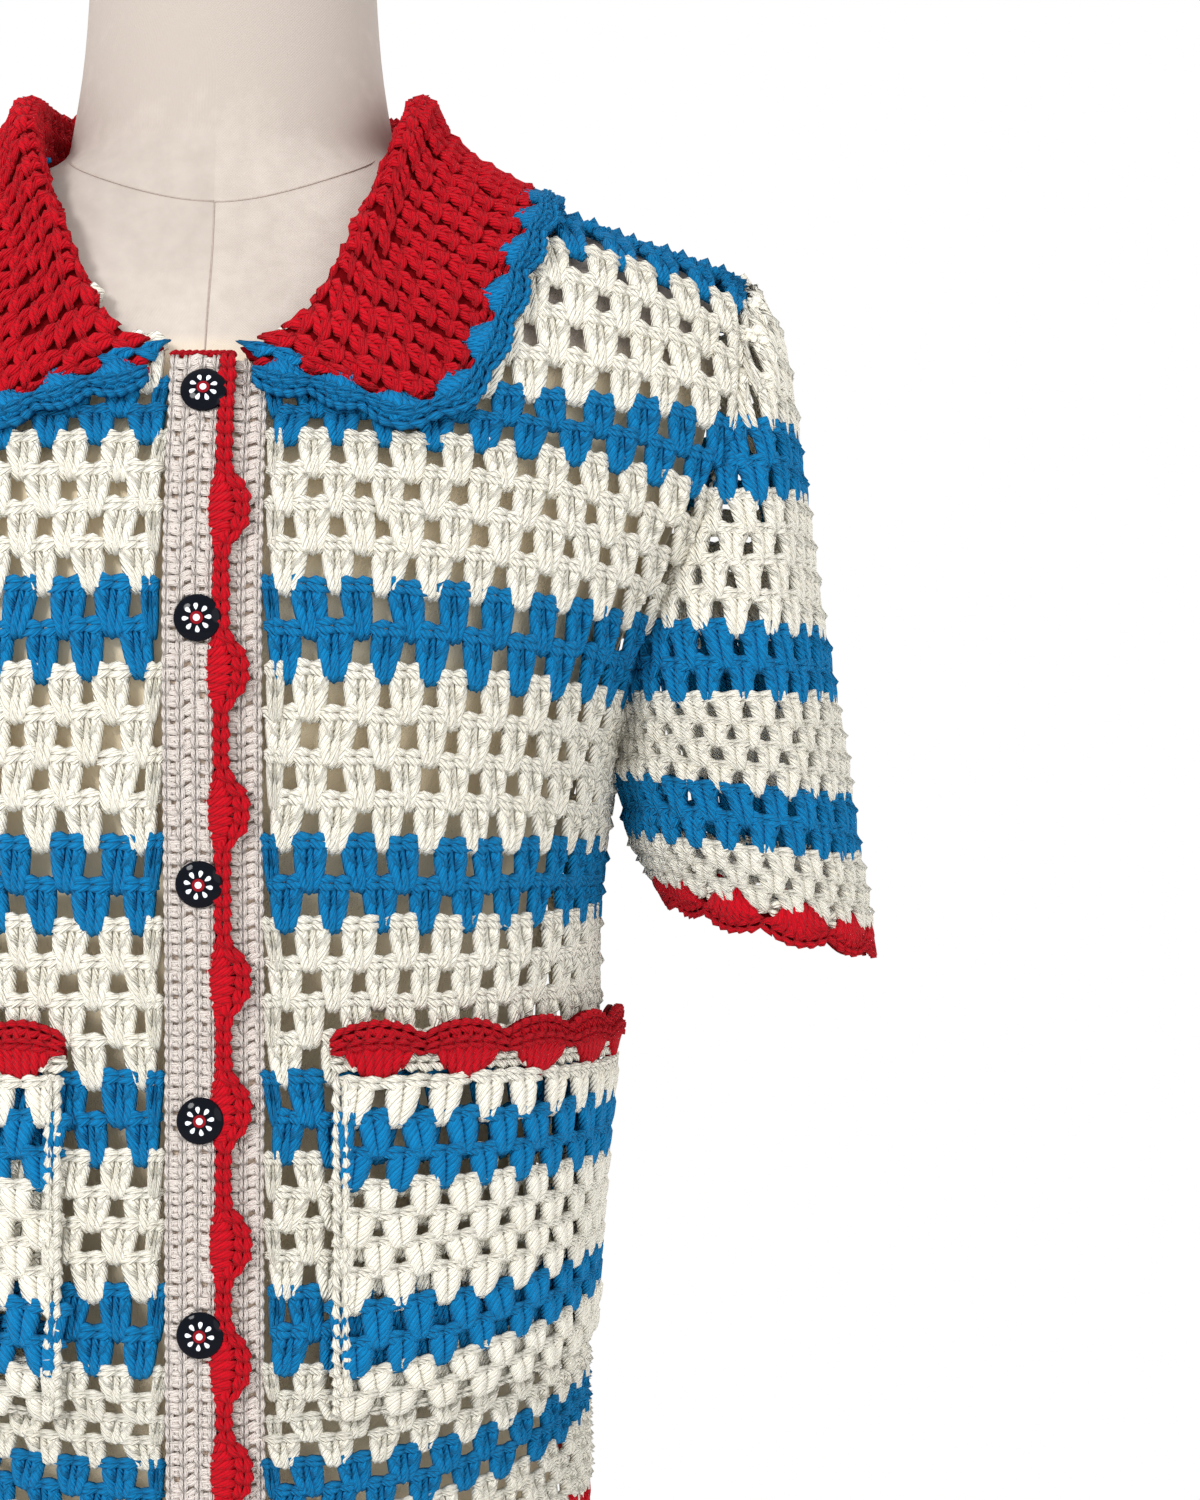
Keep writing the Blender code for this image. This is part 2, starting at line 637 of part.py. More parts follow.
def scallops(base, period, shallow, deep):
    """Depth of a scalloped edging along a line of points."""
    gaps = np.linalg.norm(np.diff(base, axis=0), axis=1)
    along = np.concatenate(([0.0], np.cumsum(gaps)))
    waves = max(1, round(along[-1] / period))
    return shallow + (deep - shallow) * np.abs(np.sin(math.pi * waves * along / along[-1])) ** 0.8


def subdivided(line, step):
    """The same broken line with more points, its corners kept."""
    points = [line[:1]]
    for start, end in zip(line, line[1:]):
        count = max(1, round(np.linalg.norm((end - start)[:3]) / step))
        parts = np.linspace(0.0, 1.0, count + 1)[1:, None]
        points.append(start + (end - start) * parts)
    return np.concatenate(points)


def paired(line, before, step):
    """Two lines with the same number of points, subdivided alike."""
    both = subdivided(np.concatenate([line, before], axis=1), step)
    return both[:, :3], both[:, 3:]


CUFF_PERIOD = 0.0272
HEM_PERIOD = 0.0300
POCKET_PERIOD = 0.0320
COLLAR_PERIOD = 0.0215


def back_row(row):
    """A whole row of the back, from the wearer's right side to the left."""
    lines = []
    for hand in (1, -1):
        inner = row_span(row, 0.0, NECK_SHOULDER_X, BACK_COLUMNS, "back", hand)
        outer = row_span(row, NECK_SHOULDER_X, None, HALF_COLUMNS, "back", hand)
        lines.append(np.concatenate([inner, outer[1:]]))
    return np.concatenate([lines[1][:0:-1], lines[0]])


def build_hem_edgings():
    edges = {
        "hem_edging_left": lambda row: row_line(row, FRONT_START[1], HALF_COLUMNS, "front", 1),
        "hem_edging_right": lambda row: row_line(row, FRONT_START[-1], HALF_COLUMNS, "front", -1),
        "hem_edging_back": back_row,
    }
    for name, line in edges.items():
        base, before = paired(line(0), line(0.6), HEM_PERIOD / 5)
        depth = scallops(base, HEM_PERIOD, 0.0075, 0.0135)
        ends = slice(0, -1) if name != "hem_edging_back" else slice(1, -1)
        frill(name, base[ends], before[ends], depth[ends], RED_STITCH, flip=name != "hem_edging_right")


def build_cuff_edgings():
    for name, hand in (("cuff_edging_left", 1), ("cuff_edging_right", -1)):
        lines = [sleeve_line(row, SLEEVE_COLUMNS_ROUND, hand) for row in (0, 0.6)]
        base, before = paired(*lines, CUFF_PERIOD / 5)
        depth = scallops(base, CUFF_PERIOD, 0.0070, 0.0125)
        frill(name, base, before, depth, RED_STITCH, closed=True, flip=hand > 0)


def pocket_line(row, count, hand):
    """A row of a pocket, moved out from the panel, more at the side of the mouth."""
    line = row_line(row, POCKET_X, 40, "front", hand)
    ahead = row_line(row + 0.4, POCKET_X, 40, "front", hand)
    along = np.gradient(line, axis=0)
    out = unit(np.cross(along, ahead - line)) * hand
    part = np.linspace(0.0, 1.0, 40)
    mouth = max(0.0, (row - POCKET_ROWS[0]) / (POCKET_ROWS[1] - POCKET_ROWS[0])) ** 3
    lift = LAYER + 0.0009 + POCKET_GAPE * mouth * part ** 3 + 0.0012 * mouth * np.sin(math.pi * part)
    return evenly(line + out * lift[:, None], count)


def build_pockets():
    for hand, label in ((1, "left"), (-1, "right")):
        lines = [pocket_line(row, 12, hand) for row in np.linspace(*POCKET_ROWS, 7)]
        sheet("pocket_" + label, lines, CREAM_STITCH, WALL, flip=hand < 0)
        before = pocket_line(POCKET_ROWS[1] - 0.5, 12, hand)
        base, before = paired(lines[-1], before, POCKET_PERIOD / 6)
        depth = scallops(base, POCKET_PERIOD, 0.0100, 0.0160)
        frill("pocket_edging_" + label, base, before, depth, RED_STITCH, flip=hand < 0)


# ---------------------------------------------------------------- collar
COLLAR_LIFT = LAYER + 0.0011
FALL_PARTS = (0.20, 0.42, 0.66, 0.84, 1.0)


def collar_profile(hand, side, station):
    """Points across the collar at a station, from the neck seam over the fold to the edge."""
    table = COLLAR_FRONT if side == "front" else COLLAR_BACK
    value = {name: float(curve(table, COLLAR_COLUMNS, name)(station)) for name in COLLAR_COLUMNS[1:]}
    ridge = station == 12
    if ridge:
        neck = np.array((hand * NECK_SHOULDER_X, 0.0, CHEST + NECK_SHOULDER))
        edge_z = RIDGE_TOP - (RIDGE_TOP - RIDGE_TIP) * value["edge_x"] / TIP_X
        edge = np.array((hand * value["edge_x"], 0.0, CHEST + edge_z))
        normal = unit(np.array((hand * 0.34, 0.0, 0.94)))
        normals = [normal, normal]
    else:
        neck = body_point(hand * value["neck_x"], value["neck_z"], side)
        edge = body_point(hand * value["edge_x"], value["edge_z"], side)
        normals = [face_normal(hand * value["neck_x"], value["neck_z"], side),
                   face_normal(hand * value["edge_x"], value["edge_z"], side)]
    across = unit(edge - neck)
    outward = unit(np.array((across[0], across[1], 0.0)) + 1e-9)
    up = np.array((0.0, 0.0, 1.0))
    stand = value["stand"]
    folded = value["folded"]
    standing = ((-0.0012, 0.0010), (-0.0018, 0.55 * stand), (-0.0010, 0.88 * stand),
                (0.0020, 1.00 * stand), (0.0054, 0.90 * stand))
    points = []
    for j, (out, rise) in enumerate(standing):
        upright = neck + outward * out + up * rise
        flat = neck + normals[0] * COLLAR_LIFT - across * 0.0040 * (5 - j) / 5
        points.append(upright * folded + flat * (1.0 - folded))
    for part in FALL_PARTS:
        on = neck + (edge - neck) * part
        if not ridge:
            on = on_body(on, side)
        normal = unit(normals[0] * (1 - part) + normals[1] * part)
        rise = 0.8 * stand * folded * (1.0 - part) ** 3.5
        points.append(on + normal * (COLLAR_LIFT + 0.0012 * math.sin(math.pi * part)) + up * rise)
    return np.array(points)


def on_body(point, side):
    """The body's face at the X and height of a point."""
    return body_point(point[0], point[2] - CHEST, side)


COLLAR_STEPS = (0, 1, 2, 3, 4, 5, 6, 7, 8, 9, 10, 11, 11.6, 11.88)
COLLAR_BACK_STEPS = (12, 12.12, 12.4, 13, 14, 15, 16, 17, 18)


def collar_stations():
    """Stations from the wearer's left front point round the back to the right one."""
    half = [("front", s) for s in COLLAR_STEPS] + [("back", s) for s in COLLAR_BACK_STEPS]
    return [(1, *item) for item in half] + [(-1, *item) for item in half[-2::-1]]


def on_panels(line):
    """Lay a line over the panels, except where it crosses the shoulder line."""
    laid = line.copy()
    for index, point in enumerate(line):
        side = "front" if point[1] < 0.0 else "back"
        x, z = point[0], point[2] - CHEST
        share = min(1.0, max(0.0, abs(point[1]) - 0.004) / 0.03)
        if abs(x) < edge_x(z):
            on = lifted(x, z, COLLAR_LIFT + 0.0006, side)
            laid[index] = on * share + point * (1.0 - share)
    return laid


def build_collar():
    profiles = [collar_profile(*station) for station in collar_stations()]
    sheet("collar", profiles, RED_STITCH, WALL)
    edge = np.array([profile[-1] for profile in profiles])
    before = np.array([profile[-2] for profile in profiles])
    base, before = paired(edge, before, COLLAR_PERIOD / 4)
    depth = scallops(base, COLLAR_PERIOD, 0.0075, 0.0115)
    frill("collar_edging", base, before, depth, BLUE_STITCH, flip=True, settle=on_panels)


# ---------------------------------------------------------------- buttons
def build_buttons():
    profile = ((0.0, BUTTON_THICK), (0.45, 0.92 * BUTTON_THICK), (0.85, 0.72 * BUTTON_THICK),
               (1.0, 0.50 * BUTTON_THICK), (0.97, 0.15 * BUTTON_THICK), (0.86, 0.0), (0.0, 0.0))
    mesh = bpy.data.meshes.new("button")
    points = [(part * BUTTON_RADIUS, 0.0, height) for part, height in profile]
    mesh.from_pydata(points, [(i, i + 1) for i in range(len(points) - 1)], [])
    mesh.materials.append(BUTTON_GLOSS)
    for number, height in enumerate(BUTTON_HEIGHTS, 1):
        made = bpy.data.objects.new("button_%d" % number, mesh)
        COLLECTION.objects.link(made)
        turned = made.modifiers.new("turned", "SCREW")
        turned.axis = "Z"
        turned.steps = 14
        turned.render_steps = 14
        turned.use_merge_vertices = True
        turned.merge_threshold = 0.00002
        out = face_normal(np.array(BUTTON_X), np.array(height))
        place = body_point(BUTTON_X, height) + out * (BAND_LAYER + SEAM + 0.0001)
        made.location = place.tolist()
        made.rotation_mode = "QUATERNION"
        made.rotation_quaternion = Vector(out.tolist()).to_track_quat("Z", "Y")


# ---------------------------------------------------------------- dress form and stand
FORM_SIDES = 32
CLEAR = 0.0052           # the form lies this far inside the cloth's outer face
SHOULDER_DROP = 0.0037   # and this far below it on the shoulders
PLATE = 0.0100           # its side plates stop this far inside the armholes


def form_half_depth(x, z, side):
    """Depth of the form at a given X, or a negative number outside it."""
    if z < FORM_LEVELS[-1][0]:
        edge = curve(FORM_LEVELS, FORM_COLUMNS, "edge")(z)
        depth = curve(FORM_LEVELS, FORM_COLUMNS, side)(z)
        part = np.clip(np.abs(x) / edge, 0.0, 1.0)
        y = depth * (1.0 - part ** SQUARE) ** 0.435
        return np.where(np.abs(x) > edge, -1.0, y)
    shifted = z + SHOULDER_DROP
    aside = CLEAR * np.interp(z, (0.120, 0.155), (1.0, 0.2))
    y = plain_depth(np.abs(x) + aside, shifted, side) - CLEAR
    limit = np.minimum(edge_x(shifted) - aside, EDGE(z) - PLATE)
    return np.where(np.abs(x) > limit, -1.0, y)


def plain_depth(x, z, side):
    """Depth of the cloth's face without its folds."""
    edge = edge_x(z)
    high = z > RIDGE_TIP
    depth = TOP_DEPTH[side](z) if high else DEPTH[side](z)
    turn = 0.0 if high else TURN(z)
    blunt = 0.5 if high else BLUNT(z)
    part = np.clip(np.abs(x) / edge, 0.0, 1.0)
    return turn + (depth - turn) * (1.0 - part ** SQUARE) ** blunt


def form_ring(z):
    """Outline of the form at a height above the chest line."""
    angle = np.linspace(0.0, 2.0 * math.pi, FORM_SIDES, endpoint=False)
    low = np.zeros(FORM_SIDES)
    high = np.full(FORM_SIDES, 0.3)
    for _ in range(40):
        middle = 0.5 * (low + high)
        x = middle * np.sin(angle)
        y = -middle * np.cos(angle)
        front = form_half_depth(x, z, "front")
        back = form_half_depth(x, z, "back")
        inside = np.where(y < 0, -y <= front, y <= back)
        low = np.where(inside, middle, low)
        high = np.where(inside, high, middle)
    neck = np.interp(z, *zip(*NECK_LEVELS)) / np.sqrt(np.sin(angle) ** 2 + (np.cos(angle) / 0.94) ** 2)
    radius = np.maximum(low, neck if z > NECK_LEVELS[0][0] else 0.0)
    return np.stack([radius * np.sin(angle), -radius * np.cos(angle), np.full(FORM_SIDES, z + CHEST)], -1)


def build_form():
    levels = list(np.linspace(FORM_FOOT, -0.007, 10)) + [0.020, 0.050, 0.080, 0.110, 0.135]
    levels += [0.155, 0.168, 0.176, 0.1825, 0.190, 0.200, 0.210, 0.220, 0.230, 0.2385, 0.250, 0.270]
    levels += [0.300, FORM_TOP]
    rings = [form_ring(z) for z in levels]
    foot = rings[0] * (0.93, 0.93, 1.0) - (0.0, 0.0, 0.006)
    rings = [foot] + rings
    count = len(rings)
    faces = grid_faces(count, FORM_SIDES, closed=True)
    faces.append(tuple(range(FORM_SIDES))[::-1])
    faces.append(tuple(range((count - 1) * FORM_SIDES, count * FORM_SIDES)))
    mesh = bpy.data.meshes.new("form_torso")
    mesh.from_pydata(np.concatenate(rings).tolist(), [], faces)
    add_object("form_torso", mesh, LINEN_COVER)


def cylinder(name, radius, low, high, finish, bevel, sides=40):
    bpy.ops.mesh.primitive_cylinder_add(vertices=sides, radius=radius, depth=high - low,
                                        location=(0.0, 0.0, 0.5 * (low + high)))
    made = bpy.context.object
    made.name = name
    made.data.name = name
    for collection in list(made.users_collection):
        collection.objects.unlink(made)
    COLLECTION.objects.link(made)
    made.data.materials.append(finish)
    rounded = made.modifiers.new("rounded", "BEVEL")
    rounded.width = bevel
    rounded.segments = 1
    rounded.limit_method = "ANGLE"
    return made


def build_stand():
    foot = CHEST + FORM_FOOT - 0.006
    cylinder("base", BASE_RADIUS, 0.0, BASE_THICK, TURNED_WOOD, 0.003)
    cylinder("pole", POLE_RADIUS, BASE_THICK + SEAM, foot - SEAM, BRUSHED_STEEL, 0.0005, sides=16)
    top = CHEST + FORM_TOP
    cylinder("neck_cap", 0.0535, top + SEAM, top + SEAM + 0.008, TURNED_WOOD, 0.002, sides=28)


build_panels()
build_bands()
build_placket_edging()
build_neck_cord()
build_hem_edgings()
build_cuff_edgings()
build_pockets()
build_collar()
build_buttons()
build_form()
build_stand()
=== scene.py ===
"""Looks of the crocheted cardigan on its dress form, stitch by stitch.

The sizes, tables and surface functions are those of the part's own source, so every stitch
sits on the form of its solid. Metres, +Z up, the front faces -Y.
"""
import math

import bpy
import numpy as np
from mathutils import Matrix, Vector


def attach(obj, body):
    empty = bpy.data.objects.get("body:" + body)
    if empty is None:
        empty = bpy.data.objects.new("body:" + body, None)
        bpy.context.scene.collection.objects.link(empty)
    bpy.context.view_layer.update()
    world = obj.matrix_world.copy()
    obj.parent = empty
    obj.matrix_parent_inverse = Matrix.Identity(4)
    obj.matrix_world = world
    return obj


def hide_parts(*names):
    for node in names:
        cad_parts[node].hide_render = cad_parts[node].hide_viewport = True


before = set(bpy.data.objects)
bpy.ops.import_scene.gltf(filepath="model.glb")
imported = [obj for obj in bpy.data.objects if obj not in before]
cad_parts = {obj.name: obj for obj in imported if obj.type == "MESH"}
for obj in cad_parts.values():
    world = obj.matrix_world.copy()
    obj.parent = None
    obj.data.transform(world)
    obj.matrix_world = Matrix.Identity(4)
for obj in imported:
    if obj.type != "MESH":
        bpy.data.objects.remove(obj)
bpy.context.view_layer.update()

# ---------------------------------------------------------------- driving sizes (metres)
# Heights below are counted from the chest line, unless they say otherwise.
CHEST = 0.720            # height of the chest line; the cloth tables count from it
WALL = 0.003             # thickness of the crocheted cloth
BAND_WALL = 0.0024       # thickness of the denser bands and edgings
SEAM = 0.0003            # gap between two pieces that are sewn or rest together
LAYER = WALL + SEAM      # how far a pocket or the collar is moved out from the panel
BAND_LAYER = BAND_WALL + SEAM

ROWS = 42                # crochet rows from the hem to the shoulder seam
UNDERARM_ROW = 26        # row at which the side seam ends and the armhole starts
YOKE_ROW = 40            # above this row the back's rows follow its neckline
CUFF_TO_UNDERARM = 5     # sleeve rows from the cuff to the underarm
TIP_X = 0.204            # shoulder point, from the middle
RIDGE_TOP = 0.2605       # shoulder line carried on to the middle, above the chest line
RIDGE_TIP = 0.187        # shoulder line at the shoulder point
SQUARE = 2.3             # exponent of the body's rounded section

BAND_X = (-0.0105, 0.0062)        # button band, on the wearer's right front
UNDER_BAND_X = (-0.0030, 0.0235)  # band of the wearer's left front, under the other
EDGING_X = (0.0065, 0.0122)       # red edging of that band, between its scallops
SCALLOP_X = 0.0186                # and where a scallop is widest
PLACKET_SCALLOPS = (0.0873, 0.0290, -0.0218, -0.0836, -0.1310, -0.1800, -0.2236, -0.2636,
                    -0.3010)
SCALLOP_HALF = 0.021              # half length of such a scallop
NECK_TOP = 0.1440                 # top of the bands
BUTTON_HEIGHTS = (0.1305, 0.0476, -0.0484, -0.1350, -0.2127, -0.2930)
BUTTON_X = 0.0016
BUTTON_RADIUS = 0.0086
BUTTON_THICK = 0.0040
BAND_DROP = 0.010        # how far the bands run on below the first row

POCKET_X = 0.0478        # inner edge of a pocket
POCKET_ROWS = (8.0, 18.2)
POCKET_GAPE = 0.005      # how far the mouth stands off at the side

FORM_TOP = 0.345         # top of the neck, above the chest line
FORM_FOOT = -0.385       # underside of the torso
POLE_RADIUS = 0.012
BASE_RADIUS = 0.165
BASE_THICK = 0.016

# ---------------------------------------------------------------- tables of the garment
# Body sections, heights above the chest line. edge: half width at the side seam or armhole;
# turn: depth there; front, back: depth in the middle; blunt: exponent of the rounding.
LEVEL_COLUMNS = ("height", "edge", "turn", "front", "back", "blunt")
LEVELS = (
    (-0.345, 0.1415, 0.000, 0.112, 0.124, 0.435),
    (-0.290, 0.1420, 0.000, 0.115, 0.125, 0.435),
    (-0.230, 0.1410, 0.000, 0.120, 0.118, 0.435),
    (-0.170, 0.1430, 0.000, 0.121, 0.106, 0.435),
    (-0.120, 0.1440, 0.000, 0.120, 0.098, 0.435),
    (-0.060, 0.1450, 0.000, 0.123, 0.094, 0.435),
    (-0.007, 0.1522, 0.000, 0.127, 0.097, 0.435),
    (0.020, 0.1560, 0.026, 0.129, 0.101, 0.52),
    (0.045, 0.1645, 0.042, 0.129, 0.104, 0.66),
    (0.075, 0.1800, 0.053, 0.126, 0.105, 0.86),
    (0.100, 0.1915, 0.057, 0.120, 0.104, 1.00),
    (0.127, 0.1990, 0.055, 0.111, 0.101, 1.00),
    (0.157, 0.2030, 0.041, 0.099, 0.092, 0.85),
    (0.175, 0.2040, 0.024, 0.090, 0.084, 0.66),
    (0.187, 0.2040, 0.000, 0.083, 0.078, 0.50),
)
# Above the shoulder point the edge follows the shoulder line.
TOP_COLUMNS = ("height", "front", "back")
TOP_LEVELS = (
    (0.187, 0.083, 0.078),
    (0.205, 0.075, 0.074),
    (0.225, 0.070, 0.070),
    (0.2605, 0.060, 0.063),
)
# Row boundaries: height at the middle of the front, at the edge, at the middle of the back,
# and the exponent with which a row leaves one height for the other.
ROW_COLUMNS = ("row", "front", "edge", "back", "bend")
ROW_LEVELS = (
    (0, -0.3130, -0.2880, -0.2780, 3.0),
    (4, -0.2810, -0.2570, -0.2400, 3.0),
    (6, -0.2600, -0.2430, -0.2220, 3.0),
    (10, -0.2255, -0.2060, -0.1860, 3.0),
    (12, -0.1964, -0.1900, -0.1660, 3.0),
    (16, -0.1473, -0.1480, -0.1280, 3.0),
    (18, -0.1182, -0.1200, -0.1050, 3.0),
    (22, -0.0618, -0.0620, -0.0520, 3.0),
    (24, -0.0320, -0.0360, -0.0250, 3.0),
    (26, 0.0000, -0.0080, 0.0045, 3.0),
    (28, 0.0310, 0.0210, 0.0330, 3.0),
    (30, 0.0622, 0.0500, 0.0620, 3.0),
    (34, 0.1164, 0.0990, 0.1200, 4.0),
    (36, 0.1364, 0.1265, 0.1500, 4.0),
    (40, 0.2140, 0.1740, 0.2150, 1.6),
    (42, 0.2605, 0.1870, 0.2605, 1.0),
)
# Front neckline, and the back one, which starts in the middle.
NECK_COLUMNS = ("x", "height")
NECK_SHOULDER_X = 0.0755
NECK_SHOULDER = RIDGE_TOP - (RIDGE_TOP - RIDGE_TIP) * NECK_SHOULDER_X / TIP_X
FRONT_NECK = ((0.0160, 0.1445), (0.0257, 0.1480), (0.0360, 0.1560), (0.0460, 0.1670),
              (0.0560, 0.1850), (0.0650, 0.2030), (0.0710, 0.2200),
              (NECK_SHOULDER_X, NECK_SHOULDER))
BACK_NECK = ((0.0000, 0.2310), (0.0300, 0.2312), (0.0520, 0.2318), (0.0680, 0.2325),
             (NECK_SHOULDER_X, NECK_SHOULDER))
# Sleeve rows: height on the outside, half width of the opening in depth, outermost X,
# and below the underarm the height and X of the inner side.
SLEEVE_COLUMNS = ("row", "outer", "depth", "x_out", "inner", "x_in", "body_row")
SLEEVE_LEVELS = (
    (0, -0.0690, 0.0610, 0.2535, -0.0500, 0.1690, 0),
    (3, -0.0420, 0.0620, 0.2490, -0.0320, 0.1600, 0),
    (5, -0.0185, 0.0630, 0.2455, -0.0080, 0.1521, 26),
    (9, 0.0210, 0.0640, 0.2395, 0.0, 0.0, 28),
    (11, 0.0470, 0.0640, 0.2350, 0.0, 0.0, 30),
    (15, 0.1000, 0.0620, 0.2275, 0.0, 0.0, 34),
    (17, 0.1250, 0.0570, 0.2238, 0.0, 0.0, 36),
    (19, 0.1570, 0.0410, 0.2190, 0.0, 0.0, 39),
    (20, 0.1740, 0.0260, 0.2125, 0.0, 0.0, 40.5),
    (21, 0.1870, 0.0100, 0.2040, 0.0, 0.0, 42),
)
# Collar stations from its front point round to the middle of the back, on the panel's face:
# X and height of the neck seam and of the red outer edge, how far the collar stands up before
# it folds over, and whether it folds there at all (0 flat, 1 folded).
COLLAR_COLUMNS = ("station", "neck_x", "neck_z", "edge_x", "edge_z", "stand", "folded")
COLLAR_FRONT = (
    (0, 0.0165, 0.1446, 0.0200, 0.1405, 0.000, 0.00),
    (1, 0.0200, 0.1460, 0.0330, 0.1385, 0.002, 0.00),
    (2, 0.0257, 0.1480, 0.0470, 0.1360, 0.004, 0.10),
    (3, 0.0330, 0.1535, 0.0620, 0.1310, 0.007, 0.25),
    (4, 0.0400, 0.1600, 0.0745, 0.1270, 0.010, 0.45),
    (5, 0.0460, 0.1670, 0.0860, 0.1310, 0.012, 0.65),
    (6, 0.0510, 0.1755, 0.0950, 0.1400, 0.014, 0.82),
    (7, 0.0560, 0.1850, 0.1000, 0.1520, 0.016, 0.93),
    (8, 0.0610, 0.1945, 0.1050, 0.1650, 0.018, 1.00),
    (9, 0.0650, 0.2030, 0.1090, 0.1790, 0.020, 1.00),
    (10, 0.0695, 0.2150, 0.1145, 0.1930, 0.022, 1.00),
    (11, 0.0730, 0.2250, 0.1180, 0.2060, 0.024, 1.00),
    (12, 0.0755, 0.2333, 0.1190, 0.2176, 0.026, 1.00),
)
COLLAR_BACK = (
    (12, 0.0755, 0.2333, 0.1190, 0.2176, 0.026, 1.00),
    (13, 0.0700, 0.2326, 0.1120, 0.2010, 0.028, 1.00),
    (14, 0.0600, 0.2321, 0.0990, 0.1860, 0.030, 1.00),
    (15, 0.0470, 0.2316, 0.0790, 0.1760, 0.032, 1.00),
    (16, 0.0320, 0.2312, 0.0540, 0.1710, 0.034, 1.00),
    (17, 0.0160, 0.2310, 0.0270, 0.1690, 0.035, 1.00),
    (18, 0.0000, 0.2310, 0.0000, 0.1685, 0.035, 1.00),
)
# The dress form below the underarm: half width, and depth in front and behind.
FORM_COLUMNS = ("height", "edge", "front", "back")
FORM_LEVELS = (
    (-0.385, 0.1180, 0.0880, 0.1040),
    (-0.340, 0.1270, 0.0930, 0.1110),
    (-0.290, 0.1300, 0.0970, 0.1150),
    (-0.230, 0.1290, 0.1020, 0.1080),
    (-0.170, 0.1220, 0.1000, 0.0920),
    (-0.120, 0.1160, 0.0990, 0.0820),
    (-0.060, 0.1240, 0.1120, 0.0820),
    (-0.007, 0.1400, 0.1205, 0.0895),
)
NECK_LEVELS = ((0.190, 0.0000), (0.215, 0.0660), (0.235, 0.0655), (0.250, 0.0630), (0.270, 0.0595),
               (0.300, 0.0572), (0.345, 0.0560))
# Soft folds of the body: direction in degrees from the front round to the side, height,
# half length, half width in degrees, and how far out (+) or in (-) the cloth goes.
FOLDS = (
    (124, -0.268, 0.075, 20, 0.0120),
    (97, -0.262, 0.080, 11, -0.0050),
    (-118, -0.262, 0.080, 18, 0.0100),
    (-94, -0.255, 0.090, 11, -0.0045),
    (160, -0.240, 0.110, 12, 0.0050),
    (-152, -0.230, 0.120, 13, 0.0045),
    (62, -0.235, 0.060, 15, 0.0030),
    (-58, -0.225, 0.070, 15, 0.0035),
    (143, -0.020, 0.060, 12, -0.0030),
    (-139, -0.030, 0.070, 12, -0.0030),
)

# ---------------------------------------------------------------- small helpers
def column(table, columns, name):
    """One named column of a table."""
    place = columns.index(name)
    return np.array([row[place] for row in table], float)


def smooth(at, known, values):
    """Cubic curve through a table's points that never overshoots them."""
    at = np.clip(np.asarray(at, float), known[0], known[-1])
    step = np.diff(known)
    slope = np.diff(values) / step
    tangent = np.concatenate(([slope[0]], 0.5 * (slope[1:] + slope[:-1]), [slope[-1]]))
    turns = slope[1:] * slope[:-1] <= 0
    tangent[1:-1][turns] = 0.0
    limit = 3.0 * np.minimum(np.abs(np.append(slope, slope[-1])), np.abs(np.append(slope[0], slope)))
    tangent = np.clip(tangent, -limit, limit)
    i = np.clip(np.searchsorted(known, at, side="right") - 1, 0, len(step) - 1)
    h = step[i]
    t = (at - known[i]) / h
    return ((2 * t**3 - 3 * t**2 + 1) * values[i] + (t**3 - 2 * t**2 + t) * h * tangent[i]
            + (3 * t**2 - 2 * t**3) * values[i + 1] + (t**3 - t**2) * h * tangent[i + 1])


def curve(table, columns, name):
    """A named column as a smooth function of the table's first column."""
    known = column(table, columns, columns[0])
    values = column(table, columns, name)
    return lambda at: smooth(at, known, values)


def unit(v):
    return v / np.maximum(np.linalg.norm(v, axis=-1, keepdims=True), 1e-12)


def line_length(line):
    return float(np.linalg.norm(np.diff(line, axis=0), axis=1).sum())


def distances(line):
    """Distance of each point of a line from its start, along the line."""
    return np.concatenate(([0.0], np.cumsum(np.linalg.norm(np.diff(line, axis=0), axis=1))))


def resampled(line, along, wanted):
    """The line's values at wanted distances, along being those of its own points."""
    return np.stack([np.interp(wanted, along, values) for values in line.T], axis=1)


def evenly(points, count):
    """The same line with count points at equal distances."""
    along = distances(points)
    return resampled(points, along, np.linspace(0.0, along[-1], count))


# ---------------------------------------------------------------- the body's surface
EDGE = curve(LEVELS, LEVEL_COLUMNS, "edge")
TURN = curve(LEVELS, LEVEL_COLUMNS, "turn")
BLUNT = curve(LEVELS, LEVEL_COLUMNS, "blunt")
DEPTH = {side: curve(LEVELS, LEVEL_COLUMNS, side) for side in ("front", "back")}
TOP_DEPTH = {side: curve(TOP_LEVELS, TOP_COLUMNS, side) for side in ("front", "back")}
ROW_EDGE = curve(ROW_LEVELS, ROW_COLUMNS, "edge")
ROW_BEND = curve(ROW_LEVELS, ROW_COLUMNS, "bend")
ROW_MIDDLE = {side: curve(ROW_LEVELS, ROW_COLUMNS, side) for side in ("front", "back")}


def edge_x(z):
    """Half width of the body at a height: side seam, armhole, then the shoulder line."""
    on_shoulder = TIP_X * (RIDGE_TOP - z) / (RIDGE_TOP - RIDGE_TIP)
    return np.where(z > RIDGE_TIP, on_shoulder, EDGE(z))


def fold_offset(angle, z):
    """How far the folds move the cloth out at an angle (degrees) and a height."""
    total = np.zeros(np.broadcast(angle, z).shape)
    for middle, height, half_length, half_width, out in FOLDS:
        across = (angle - middle + 180.0) % 360.0 - 180.0
        total = total + out * np.exp(-(across / half_width) ** 2 - ((z - height) / half_length) ** 2)
    return total


